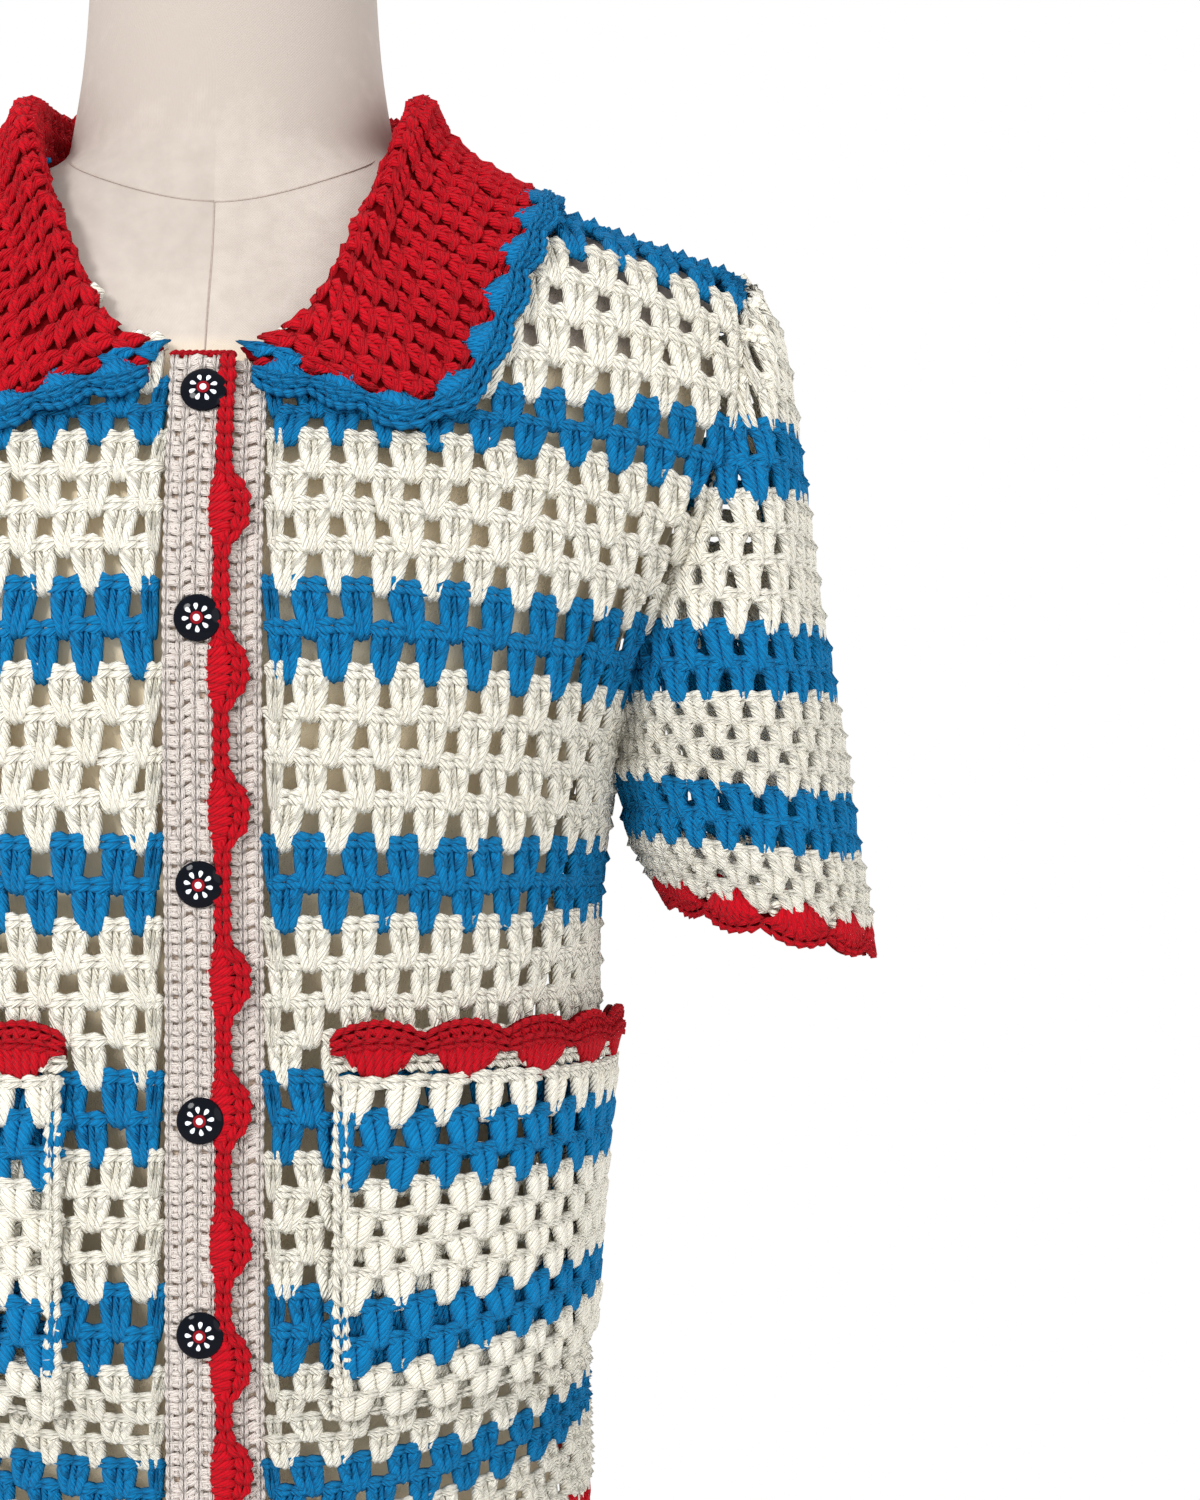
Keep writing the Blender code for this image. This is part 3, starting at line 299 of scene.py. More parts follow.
def plain_depth(x, z, side):
    """Depth of the cloth's outer face without its folds."""
    edge = np.maximum(edge_x(z), 1e-4)
    high = z > RIDGE_TIP
    depth = np.where(high, TOP_DEPTH[side](z), DEPTH[side](z))
    turn = np.where(high, 0.0, TURN(z))
    blunt = np.where(high, 0.5, BLUNT(z))
    part = np.clip(np.abs(x) / edge, 0.0, 1.0)
    return turn + (depth - turn) * (1.0 - part ** SQUARE) ** blunt


def body_point(x, z, side="front"):
    """Point of the cloth's outer face at a given X and height, front or back."""
    x = np.asarray(x, float)
    z = np.asarray(z, float)
    y = plain_depth(x, z, side)
    away = -1.0 if side == "front" else 1.0
    angle = np.degrees(np.arctan2(x, -away * y))
    move = fold_offset(angle, z)
    out_x = np.sin(np.radians(angle))
    out_y = -np.cos(np.radians(angle))
    return np.stack([x + move * out_x, away * y + move * out_y, z + CHEST], axis=-1)


def row_height(row, part, side="front"):
    """Height of a row boundary at a part (0 middle, 1 edge) of the way across."""
    middle = ROW_MIDDLE[side](row)
    height = middle + (ROW_EDGE(row) - middle) * part ** ROW_BEND(row)
    if side == "front" or row <= YOKE_ROW:
        return height
    low = row_height(YOKE_ROW, part, side)
    x = part * TIP_X
    neck = np.interp(x, column(BACK_NECK, NECK_COLUMNS, "x"), column(BACK_NECK, NECK_COLUMNS, "height"))
    shoulder = RIDGE_TOP - (RIDGE_TOP - RIDGE_TIP) * part
    top = np.where(x < NECK_SHOULDER_X, neck, shoulder)
    return low + (top - low) * (row - YOKE_ROW) / (ROWS - YOKE_ROW)


def neck_x(z):
    """Where the front neckline crosses a height."""
    heights = column(FRONT_NECK, NECK_COLUMNS, "height")
    return np.interp(z, heights, column(FRONT_NECK, NECK_COLUMNS, "x"))


def row_start(row, start_x):
    """X where a row of a front leaves the neckline, or start_x below it."""
    outer = edge_x(ROW_EDGE(row))

    def cut_away(x):
        z = row_height(row, x / outer)
        return z > FRONT_NECK[0][1] and x < neck_x(z)

    low, high = start_x, 0.9 * outer
    if not cut_away(low):
        return start_x
    for _ in range(40):
        middle = 0.5 * (low + high)
        if cut_away(middle):
            low = middle
        else:
            high = middle
    return high


def row_span(row, start, end, count, side="front", hand=1):
    """One row of a panel half between two X places, evenly spaced along the cloth."""
    outer = edge_x(ROW_EDGE(row))
    if end is None:
        end = outer
    bend = np.sin(np.linspace(0.0, 0.5 * math.pi, 160))
    x = start + (end - start) * bend
    z = row_height(row, np.minimum(x / outer, 1.0), side)
    return evenly(body_point(hand * x, z, side), count)


def row_line(row, start_x, count, side="front", hand=1):
    """One row of a panel half from its inner edge to its outer edge."""
    start = row_start(row, start_x) if side == "front" else start_x
    return row_span(row, start, None, count, side, hand)


# ---------------------------------------------------------------- the sleeve's surface
SLEEVE = {name: curve(SLEEVE_LEVELS, SLEEVE_COLUMNS, name) for name in SLEEVE_COLUMNS[1:]}


def sleeve_row_of(body_row):
    """Sleeve row that meets a body row at the armhole."""
    used = [row for row in SLEEVE_LEVELS if row[0] >= CUFF_TO_UNDERARM]
    place = SLEEVE_COLUMNS.index("body_row")
    return float(np.interp(body_row, [row[place] for row in used], [row[0] for row in used]))


def sleeve_line(row, count, hand=1, body_row=None):
    """One row of a sleeve from the front end round the outside to the back end."""
    if body_row == ROWS:
        return np.tile((hand * TIP_X, 0.0, CHEST + RIDGE_TIP), (count, 1))
    x_out = SLEEVE["x_out"](row)
    outer = SLEEVE["outer"](row)
    depth = SLEEVE["depth"](row)
    if body_row is None:
        end_x = SLEEVE["x_in"](row)
        end_z = SLEEVE["inner"](row)
        reach = math.pi
    else:
        end_z = ROW_EDGE(body_row)
        end_x = edge_x(end_z)
        reach = math.pi - math.asin(min(1.0, float(TURN(end_z) / depth)))
    half = (x_out - end_x) / (1.0 - math.cos(reach))
    angle = np.linspace(-reach, reach, 121)
    x = x_out - half + half * np.cos(angle)
    y = depth * np.sin(angle)
    z = outer + (end_z - outer) * (1.0 - np.cos(angle)) / (1.0 - math.cos(reach))
    return evenly(np.stack([hand * x, y, z + CHEST], axis=-1), count)


# ---------------------------------------------------------------- places on the panels
FRONT_START = {1: UNDER_BAND_X[1] + SEAM, -1: SEAM - BAND_X[0]}
CUFF_PERIOD = 0.0272
HEM_PERIOD = 0.0300
POCKET_PERIOD = 0.0320
COLLAR_PERIOD = 0.0215
POCKET_LIFT = LAYER + 0.0009      # the pockets lie this far out from the panels
POCKET_BULGE = 0.0012             # and at the middle of the mouth this much farther
COLLAR_LIFT = LAYER + 0.0011
COLLAR_BULGE = 0.0012             # how far the collar's fall stands off between fold and edge
COLLAR_TUCK = 0.0040              # how far a flat collar reaches under the neckline
# The collar's standing part by its points: how far out of the seam, and up, the last number
# counting in heights of the stand.
COLLAR_STANDING = ((-0.0012, 0.0010, 0.0), (-0.0018, 0.0, 0.55), (-0.0010, 0.0, 0.88), (0.0020, 0.0, 1.00),
                   (0.0054, 0.0, 0.90))
FALL_PARTS = (0.20, 0.42, 0.66, 0.84, 1.0)
RIDGE_STATION = 12       # the collar's station on the shoulder line
BACK_STATION = 18        # and the one in the middle of the back
FORM_SIDES = 112
CLEAR = 0.0052           # the form lies this far inside the cloth's outer face
SHOULDER_DROP = 0.0037   # and this far below it on the shoulders
PLATE = 0.0100           # its side plates stop this far inside the armholes
FORM_BLUNT = 0.435       # exponent of the form's rounding below the underarm
NECK_FLAT = 0.94         # depth of the form's neck as a share of its width


def face_normal(x, z, side="front"):
    """Outward direction of the cloth's face at a given X and height."""
    step = 0.0008
    across = body_point(x + step, z, side) - body_point(x - step, z, side)
    up = body_point(x, z + step, side) - body_point(x, z - step, side)
    out = unit(np.cross(across, up))
    return out if side == "front" else -out


def lifted(x, z, lift, side="front"):
    """Point of the body's face moved out."""
    return body_point(x, z, side) + face_normal(x, z, side) * np.asarray(lift)[..., None]


def scallop_x(z):
    """Outer edge of the placket's red edging at a height."""
    swell = sum(np.exp(-((z - middle) / (0.52 * SCALLOP_HALF)) ** 4) for middle in PLACKET_SCALLOPS)
    return EDGING_X[1] + (SCALLOP_X - EDGING_X[1]) * np.minimum(swell, 1.0)


def square_to(line, away, closed):
    """The part of each direction that is square to the line."""
    ends = line if not closed else np.concatenate([line[-2:-1], line, line[1:2]])
    along = unit(np.gradient(ends, axis=0))
    if closed:
        along = along[1:-1]
    return unit(away - along * np.sum(away * along, axis=1, keepdims=True))


def scallops(base, period, shallow, deep):
    """Depth of a scalloped edging along a line of points."""
    along = distances(base)
    waves = max(1, round(along[-1] / period))
    return shallow + (deep - shallow) * np.abs(np.sin(math.pi * waves * along / along[-1])) ** 0.8


def subdivided(line, step):
    """The same broken line with more points, its corners kept."""
    points = [line[:1]]
    for start, end in zip(line, line[1:]):
        count = max(1, round(np.linalg.norm((end - start)[:3]) / step))
        parts = np.linspace(0.0, 1.0, count + 1)[1:, None]
        points.append(start + (end - start) * parts)
    return np.concatenate(points)


def paired(line, before, step):
    """Two lines with the same number of points, subdivided alike."""
    both = subdivided(np.concatenate([line, before], axis=1), step)
    return both[:, :3], both[:, 3:]


def pocket_line(row, count, hand):
    """A row of a pocket, moved out from the panel, more at the side of the mouth."""
    line = row_line(row, POCKET_X, 40, "front", hand)
    ahead = row_line(row + 0.4, POCKET_X, 40, "front", hand)
    along = np.gradient(line, axis=0)
    out = unit(np.cross(along, ahead - line)) * hand
    part = np.linspace(0.0, 1.0, 40)
    mouth = max(0.0, (row - POCKET_ROWS[0]) / (POCKET_ROWS[1] - POCKET_ROWS[0])) ** 3
    lift = POCKET_LIFT + mouth * (POCKET_GAPE * part ** 3 + POCKET_BULGE * np.sin(math.pi * part))
    return evenly(line + out * lift[:, None], count)


def collar_profile(hand, side, station):
    """Points across the collar at a station, from the neck seam over the fold to the edge."""
    table = COLLAR_FRONT if side == "front" else COLLAR_BACK
    value = {name: float(curve(table, COLLAR_COLUMNS, name)(station)) for name in COLLAR_COLUMNS[1:]}
    ridge = station == RIDGE_STATION
    if ridge:
        neck = np.array((hand * NECK_SHOULDER_X, 0.0, CHEST + NECK_SHOULDER))
        edge_z = RIDGE_TOP - (RIDGE_TOP - RIDGE_TIP) * value["edge_x"] / TIP_X
        edge = np.array((hand * value["edge_x"], 0.0, CHEST + edge_z))
        normal = unit(np.array((hand * 0.34, 0.0, 0.94)))
        normals = [normal, normal]
    else:
        neck = body_point(hand * value["neck_x"], value["neck_z"], side)
        edge = body_point(hand * value["edge_x"], value["edge_z"], side)
        normals = [face_normal(hand * value["neck_x"], value["neck_z"], side),
                   face_normal(hand * value["edge_x"], value["edge_z"], side)]
    across = unit(edge - neck)
    outward = unit(np.array((across[0], across[1], 0.0)) + 1e-9)
    up = np.array((0.0, 0.0, 1.0))
    stand = value["stand"]
    folded = value["folded"]
    points = []
    for j, (out, rise, share) in enumerate(COLLAR_STANDING):
        upright = neck + outward * out + up * (rise + share * stand)
        flat = neck + normals[0] * COLLAR_LIFT - across * COLLAR_TUCK * (1.0 - j / len(COLLAR_STANDING))
        points.append(upright * folded + flat * (1.0 - folded))
    for part in FALL_PARTS:
        on = neck + (edge - neck) * part
        if not ridge:
            on = on_body(on, side)
        normal = unit(normals[0] * (1 - part) + normals[1] * part)
        rise = 0.8 * stand * folded * (1.0 - part) ** 3.5
        points.append(on + normal * (COLLAR_LIFT + COLLAR_BULGE * math.sin(math.pi * part)) + up * rise)
    return np.array(points)


def on_body(point, side):
    """The body's face at the X and height of a point."""
    return body_point(point[0], point[2] - CHEST, side)


def on_panels(line):
    """Lay a line over the panels, except where it crosses the shoulder line."""
    laid = line.copy()
    for index, point in enumerate(line):
        side = "front" if point[1] < 0.0 else "back"
        x, z = point[0], point[2] - CHEST
        share = min(1.0, max(0.0, abs(point[1]) - 0.004) / 0.03)
        if abs(x) < edge_x(z):
            on = lifted(x, z, COLLAR_LIFT + 0.0006, side)
            laid[index] = on * share + point * (1.0 - share)
    return laid


def form_half_depth(x, z, side):
    """Depth of the form at a given X, or a negative number outside it."""
    if z < FORM_LEVELS[-1][0]:
        edge = curve(FORM_LEVELS, FORM_COLUMNS, "edge")(z)
        depth = curve(FORM_LEVELS, FORM_COLUMNS, side)(z)
        part = np.clip(np.abs(x) / edge, 0.0, 1.0)
        y = depth * (1.0 - part ** SQUARE) ** FORM_BLUNT
        return np.where(np.abs(x) > edge, -1.0, y)
    shifted = z + SHOULDER_DROP
    aside = CLEAR * np.interp(z, (0.120, 0.155), (1.0, 0.2))
    y = plain_depth(np.abs(x) + aside, shifted, side) - CLEAR
    limit = np.minimum(edge_x(shifted) - aside, EDGE(z) - PLATE)
    return np.where(np.abs(x) > limit, -1.0, y)


def form_ring(z):
    """Outline of the form at a height above the chest line."""
    angle = np.linspace(0.0, 2.0 * math.pi, FORM_SIDES, endpoint=False)
    low = np.zeros(FORM_SIDES)
    high = np.full(FORM_SIDES, 0.3)
    for _ in range(40):
        middle = 0.5 * (low + high)
        x = middle * np.sin(angle)
        y = -middle * np.cos(angle)
        front = form_half_depth(x, z, "front")
        back = form_half_depth(x, z, "back")
        inside = np.where(y < 0, -y <= front, y <= back)
        low = np.where(inside, middle, low)
        high = np.where(inside, high, middle)
    neck = np.interp(z, *zip(*NECK_LEVELS)) / np.hypot(np.sin(angle), np.cos(angle) / NECK_FLAT)
    radius = np.maximum(low, neck if z > NECK_LEVELS[0][0] else 0.0)
    return np.stack([radius * np.sin(angle), -radius * np.cos(angle), np.full(FORM_SIDES, z + CHEST)], -1)


# ---------------------------------------------------------------- cloth as a grid of rows
class Fabric:
    """A surface with crochet rows: row counts them, t goes along a row, w is outward.

    The columns of the grid go from t = first to t = last, and a row's cloth reaches from its
    own low to its own high place. outward is -1 where the grid is seen from its other side.
    """

    def __init__(self, rows, lines, outward=1, first=0.0, last=1.0, low=None, high=None):
        self.rows = np.asarray(rows, float)
        self.grid = np.asarray(lines, float)
        self.outward, self.first, self.last = outward, first, last
        self.low = np.full(len(rows), first) if low is None else np.asarray(low, float)
        self.high = np.full(len(rows), last) if high is None else np.asarray(high, float)
        across, up = (np.gradient(self.grid, axis=axis) for axis in (1, 0))
        self.normal = unit(np.cross(across, up)) * outward
        self.lengths = np.linalg.norm(np.diff(self.grid, axis=1), axis=2).sum(axis=1)

    def length(self, row):
        return np.interp(row, self.rows, self.lengths)

    def reach(self, row):
        """Lowest and highest t of the cloth in a row."""
        return np.interp(row, self.rows, self.low), np.interp(row, self.rows, self.high)

    def depth(self, t):
        """Metres for one row at a place t."""
        j = int(round(min(max(t, 0.0), 1.0) * (self.grid.shape[1] - 1)))
        span = np.linalg.norm(self.grid[-1, j] - self.grid[0, j])
        return max(span / (self.rows[-1] - self.rows[0]), 0.002)

    def at(self, row, t, w=0.0):
        row, t, w = np.broadcast_arrays(row, t, w)
        last_row, last_column = self.grid.shape[0] - 2, self.grid.shape[1] - 2
        i = np.clip(np.searchsorted(self.rows, row, side="right") - 1, 0, last_row)
        f = ((row - self.rows[i]) / (self.rows[i + 1] - self.rows[i]))[..., None]
        place = (t - self.first) / (self.last - self.first) * (last_column + 1)
        j = np.clip(np.floor(place).astype(int), 0, last_column)
        g = (place - j)[..., None]

        def mixed(values):
            low = values[i, j] * (1 - g) + values[i, j + 1] * g
            high = values[i + 1, j] * (1 - g) + values[i + 1, j + 1] * g
            return low * (1 - f) + high * f

        return mixed(self.grid) + unit(mixed(self.normal)) * w[..., None]


# ---------------------------------------------------------------- meshes
def new_object(name, data):
    made = bpy.data.objects.new(name, data)
    bpy.context.scene.collection.objects.link(made)
    return made


def mesh_object(name, points, faces, finishes, kinds=None):
    """Smooth mesh with its materials; kinds gives the number of each face's material."""
    mesh = bpy.data.meshes.new(name)
    mesh.from_pydata(points, [], faces)
    for finish in finishes:
        mesh.materials.append(finish)
    if kinds is not None:
        mesh.polygons.foreach_set("material_index", kinds)
    mesh.shade_smooth()
    return new_object(name, mesh)


def quads_of(rows, columns, closed=False):
    """Faces of a grid of points, its last column joined to its first where it is closed."""
    return [(i * columns + j, i * columns + k, (i + 1) * columns + k, (i + 1) * columns + j)
            for i in range(rows - 1)
            for j, k in ((j, (j + 1) % columns) for j in range(columns if closed else columns - 1))]


def finish_piece(made, nodes):
    """Ride on the body and stand for the nodes."""
    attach(made, "root")
    if nodes:
        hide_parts(*nodes)
    return made


# ---------------------------------------------------------------- yarn as tubes
PLY_TURN = 0.0070        # length of yarn in which its ply turns once
RANDOM = np.random.RandomState(7)
# Random changes of a stitch: its width (share), place along the row, lean (share), place up
# the row, slope (share) and lift.
JITTER = np.array((0.10, 0.0009, 0.10, 0.0007, 0.10, 0.0005)).reshape(6, 1, 1)
LINK_JITTER = np.array((0.06, 0.08)).reshape(2, 1, 1)   # of a chain's link: length and width


def tube(path, radii, sides, phase=0.0):
    """Closed tube round a path in metres: points, faces and each face corner's UV.

    The path's third coordinate is outward. U counts the turns of the ply along the yarn.
    """
    path = np.asarray(path, float)
    radii = np.broadcast_to(radii, len(path))
    along = unit(np.gradient(path, axis=0))
    side = unit(np.cross(along, (0.0, 0.0, 1.0)))
    out = np.cross(side, along)
    angle = 2 * math.pi * np.arange(sides) / sides + phase
    ring = np.cos(angle)[None, :, None] * side[:, None] + np.sin(angle)[None, :, None] * out[:, None]
    points = (path[:, None] + ring * radii[:, None, None]).reshape(-1, 3)
    gone = distances(path) / PLY_TURN
    faces = quads_of(len(path), sides, closed=True)
    marks = []
    for start, end in zip(gone, gone[1:]):
        for left, right in ((j / sides, (j + 1) / sides) for j in range(sides)):
            marks.append(((start + left, left), (start + right, right),
                          (end + right, right), (end + left, left)))
    top = (len(path) - 1) * sides
    faces += [tuple(range(sides))[::-1], tuple(range(top, top + sides))]
    marks += [[(gone[0], 0.5)] * sides, [(gone[-1], 0.5)] * sides]
    return points, faces, marks


def strand(table, height=1.0, hand=1, sides=4, phase=0.0):
    """Tube through a table of aside, up (in heights), out and radius; hand -1 mirrors it."""
    path = [(hand * aside, up * height, out) for aside, up, out, _ in table]
    return tube(path, [row[3] for row in table], sides, phase)


def strand_pair(table, height, sides, twist=0.0, phase=0.0):
    return [strand(table, height, hand, sides, hand * twist + phase) for hand in (-1, 1)]


class Stamp:
    """Several tubes that are repeated over a fabric. Lengths in metres."""

    def __init__(self, tubes):
        loops, totals, marks = [], [], []
        count = 0
        for points, faces, tube_marks in tubes:
            for face, mark in zip(faces, tube_marks):
                loops.extend(index + count for index in face)
                totals.append(len(face))
                marks.extend(mark)
            count += len(points)
        self.points = np.concatenate([points for points, _, _ in tubes])
        self.uvw = [self.points[:, k][None] for k in range(3)]
        self.loops, self.totals, self.marks = np.array(loops), np.array(totals), np.array(marks)
        starts = np.concatenate(([0], np.cumsum(self.totals)[:-1]))
        self.turned = np.concatenate([np.arange(s + n - 1, s - 1, -1) for s, n in zip(starts, self.totals)])


class Yarn:
    """Everything that is collected for one mesh."""

    def __init__(self):
        self.points, self.loops, self.totals, self.marks, self.kinds = [], [], [], [], []
        self.count = 0

    def add(self, stamp, placed, kind=0, outward=1):
        """Copies of a stamp: placed holds the points of each, kind its material's number."""
        copies = len(placed)
        if not copies:
            return
        order = stamp.turned if outward < 0 else np.arange(len(stamp.loops))
        shift = self.count + np.arange(copies)[:, None] * len(stamp.points)
        self.points.append(placed.reshape(-1, 3))
        self.loops.append((stamp.loops[order][None] + shift).ravel())
        self.totals.append(np.tile(stamp.totals, copies))
        self.marks.append(np.tile(stamp.marks[order], (copies, 1)))
        self.kinds.append(np.repeat(np.broadcast_to(kind, copies), len(stamp.totals)))
        self.count += copies * len(stamp.points)

    def build(self, name, finishes):
        mesh = bpy.data.meshes.new(name)
        points, loops, totals = (np.concatenate(part) for part in (self.points, self.loops, self.totals))
        mesh.vertices.add(len(points))
        mesh.vertices.foreach_set("co", points.ravel())
        mesh.loops.add(len(loops))
        mesh.loops.foreach_set("vertex_index", loops.astype(np.int32))
        mesh.polygons.add(len(totals))
        starts = np.concatenate(([0], np.cumsum(totals)[:-1]))
        mesh.polygons.foreach_set("loop_start", starts.astype(np.int32))
        for finish in finishes:
            mesh.materials.append(finish)
        mesh.polygons.foreach_set("material_index", np.concatenate(self.kinds).astype(np.int32))
        mesh.update(calc_edges=True)
        mesh.uv_layers.new(name="yarn").data.foreach_set("uv", np.concatenate(self.marks).ravel())
        mesh.shade_smooth()
        return new_object(name, mesh)


def place_stamp(fabric, stamp, row, t, scale_t, scale_row, jitter, lean=0.0, narrow=1.0):
    """Points of a stamp's copies at rows and places t of a fabric."""
    row, t = np.asarray(row, float), np.asarray(t, float)
    u, v, w = stamp.uvw
    wide, along, leaning, up, slope, out = RANDOM.uniform(-1.0, 1.0, (6, len(row), 1)) * jitter * JITTER
    u = u * np.reshape(narrow, (-1, 1)) * (1 + wide) + along
    u = u + v * (np.reshape(lean, (-1, 1)) + leaning)
    v = v + up + u * slope
    return fabric.at(row[:, None] + v * scale_row, t[:, None] + u * np.reshape(scale_t, (-1, 1)), w + out)


def rows_of_stamps(fabric, rows, per_unit, nominal, keep=None, overlap=0.0):
    """Row, place t, width scale and narrowing of each cluster, staggered from row to row.

    per_unit gives how many clusters a row has on one unit of t. A cluster at the end of a
    row is made narrower, so that it ends with the cloth, or overlap of it past the cloth.
    """
    found = []
    for row in rows:
        n = per_unit(row)
        low, high = fabric.reach(row + 0.5)
        over = overlap / n if row < YOKE_ROW else 0.0
        low, high = low - over * (low < 0.0), high + over
        shift = 0.5 if row % 2 == 0 else 0.0
        for k in range(math.floor(low * n) - 1, math.ceil(high * n) + 2):
            left = max(low, (k + shift - 0.5) / n)
            right = min(high, (k + shift + 0.5) / n)
            width = (right - left) * n
            place = 0.5 * (left + right)
            if width > NARROWEST and (keep is None or keep(row, place)):
                found.append((row, place, 1.0 / (nominal * n), min(1.0, width)))
    return np.array(found).T


# ---------------------------------------------------------------- the stitches
CLUSTER = 0.0160         # distance of two clusters for which they are drawn
ROW_HIGH = 0.0140        # and the height of their row
NARROWEST = 0.36         # least share of a cluster that is worked at the end of a row
OVERLAP = 0.22           # part of a cluster that a row's end runs into the next piece
LEAN = 0.05              # how far the clusters lean, one way and the other from row to row
# Strands by their points: aside, up (in heights of the row), out, and the yarn's radius there.
MIDDLE_STRAND = ((0.0, -0.38, -0.0010, 0.0014), (0.0, -0.24, 0.0011, 0.0019), (0.0, 0.14, 0.0010, 0.0019),
                 (0.0001, 0.48, -0.0004, 0.0018), (0.0, 0.88, -0.0008, 0.0018))
LOBE = ((0.0016, -0.35, -0.0012, 0.0015), (0.0023, -0.19, 0.0002, 0.0020), (0.0031, 0.14, 0.0004, 0.0021),
        (0.0034, 0.56, 0.0006, 0.0024), (0.0034, 0.92, -0.0008, 0.0022))
THICK_LOBE = ((0.0008, -0.36, -0.0010, 0.0014), (0.0012, -0.19, 0.0006, 0.0019),
              (0.0018, 0.14, 0.0008, 0.0023), (0.0021, 0.56, 0.0008, 0.0025), (0.0022, 0.92, -0.0008, 0.0023))
WRAP = ((0.0010, 0.26, 0.0006, 0.0010), (0.0028, 0.46, 0.0027, 0.0016), (0.0050, 0.72, 0.0008, 0.0012))
COLLAR_LOBE = ((0.0009, -0.40, -0.0016, 0.0013), (0.0011, -0.08, -0.0001, 0.0016),
               (0.0020, 0.32, 0.0008, 0.0023), (0.0022, 0.76, -0.0004, 0.0019))
# The same for the bands, with how far a point leans, now one way and now the other, after aside.
BAND_STITCH = 0.0048     # length of a band's stitch
BAND_STRAND = ((0.0006, -0.0006, 0.02, -0.0009, 0.0008), (0.0008, 0.0, 0.35, 0.0004, 0.00130),
               (0.0010, 0.0005, 0.70, 0.0003, 0.00135), (0.0009, 0.0010, 0.98, -0.0008, 0.0009))
# One strand of a chain's link by its points: along (in links), aside (in spreads), out, and
# the share of its radius.
LINK = ((0.0, 0.25, -0.0004, 0.55), (0.62, 0.95, 0.0003, 1.0), (1.22, 0.80, -0.0005, 0.55))
# Chains: length of a link, how far its strands spread, their radius, and how high they lie.
CHAINS = {
    "rim": (0.0046, 0.0019, 0.0018, 0.0008),
    "knobs": (0.0060, 0.0016, 0.0014, 0.0024),
    "worked_on": (0.0056, 0.0021, 0.0021, -0.0006),
    "placket_rim": (0.0052, 0.0018, 0.0023, 0.0014),
    "pocket_side": (0.0050, 0.0021, 0.0019, 0.0016),
    "pocket_foot": (0.0046, 0.0015, 0.0013, 0.0002),
    "band": (BAND_STITCH, 0.0010, 0.0011, 0.0006),
}
# Shells: number of posts, their width at the foot as a share of the shell's, how far they reach
# in rows, radius, the row at which they start, and how high their feet lie.
SHELLS = {"edging": (7, 0.46, 0.86, 0.0023, -0.38, 0.0), "placket": (9, 0.55, 0.80, 0.0022, -0.20, 0.0002)}
# Edgings: depth between two shells and at a shell's middle, and a shell's length.
EDGINGS = {"hem": (0.0075, 0.0135, HEM_PERIOD), "cuff": (0.0070, 0.0125, CUFF_PERIOD),
           "pocket": (0.0100, 0.0160, POCKET_PERIOD), "collar": (0.0075, 0.0115, COLLAR_PERIOD)}
# Walls under the stitches, dark sheets of painted shade seen through the holes: how far below the cloth's
# face they begin and end.
BACKS = {"edging": (-0.0030, -0.0018), "collar": (-0.0024, -0.0011), "band": (-0.0022, -0.0010),
         "placket": (-0.0026, -0.0016)}


def chain_links(length, links, middle, spread, radius, sides=4, out=0.0):
    """Links of a chain seen from the front: pairs of slanting strands, like an ear of wheat."""
    step = length / links
    tubes = []
    for i in range(links):
        start = -0.5 * length + (i - 0.10) * step
        for hand in (-1, 1):
            path = [(start + along * step, middle + hand * spread * aside, out + over)
                    for along, aside, over, _ in LINK]
            tubes.append(tube(path, [radius * share for _, _, _, share in LINK], sides, math.pi / 4))
    return tubes


TOP_LINKS = chain_links(0.0120, 2, 0.90 * ROW_HIGH, 0.0016, 0.00215, out=0.0006)
POSTS = Stamp([strand(MIDDLE_STRAND, ROW_HIGH)] + strand_pair(LOBE, ROW_HIGH, 5, twist=0.3))
PAIRED_POSTS = Stamp(strand_pair(THICK_LOBE, ROW_HIGH, 5, twist=0.3))
CHAIN = Stamp(TOP_LINKS + strand_pair(WRAP, ROW_HIGH, 3, phase=0.5 * math.pi))
PLAIN_CHAIN = Stamp(TOP_LINKS)
COLLAR_ROW = 0.0090      # height of the collar's rows
COLLAR_PITCH = 0.0104    # and the distance of its clusters
COLLAR_CLUSTER = Stamp(strand_pair(COLLAR_LOBE, COLLAR_ROW, 5, twist=0.4)
                       + chain_links(0.0080, 1, 0.80 * COLLAR_ROW, 0.0013, 0.0021, out=0.0004))


def crochet_net(fabric, rows, clusters, blue_rows, keep=None, plump=1.0, post=POSTS, chain=CHAIN,
                bare_row=None, overlap=OVERLAP, into=None):
    """Posts and top chains of a striped net, as two collections of yarn.

    clusters is their number on one unit of t, and bare_row the row that has no chain.
    """
    row, t, scale, narrow = rows_of_stamps(fabric, rows, lambda row: clusters, CLUSTER, keep, overlap)
    blue = np.array([blue_rows(r) for r in row], int)
    lean = np.where(row % 2 == 0, LEAN, -LEAN)
    state = RANDOM.get_state()
    posts, chains = into or (Yarn(), Yarn())
    for stamp, target in ((post, posts), (chain, chains)):
        RANDOM.set_state(state)     # a cluster and its chain are moved alike
        placed = place_stamp(fabric, stamp, row, t, scale, 1.0 / ROW_HIGH, 1.0, lean, narrow * plump)
        shown = np.ones(len(row), bool) if target is posts or bare_row is None else row != bare_row
        target.add(stamp, placed[shown], blue[shown], fabric.outward)
    return posts, chains


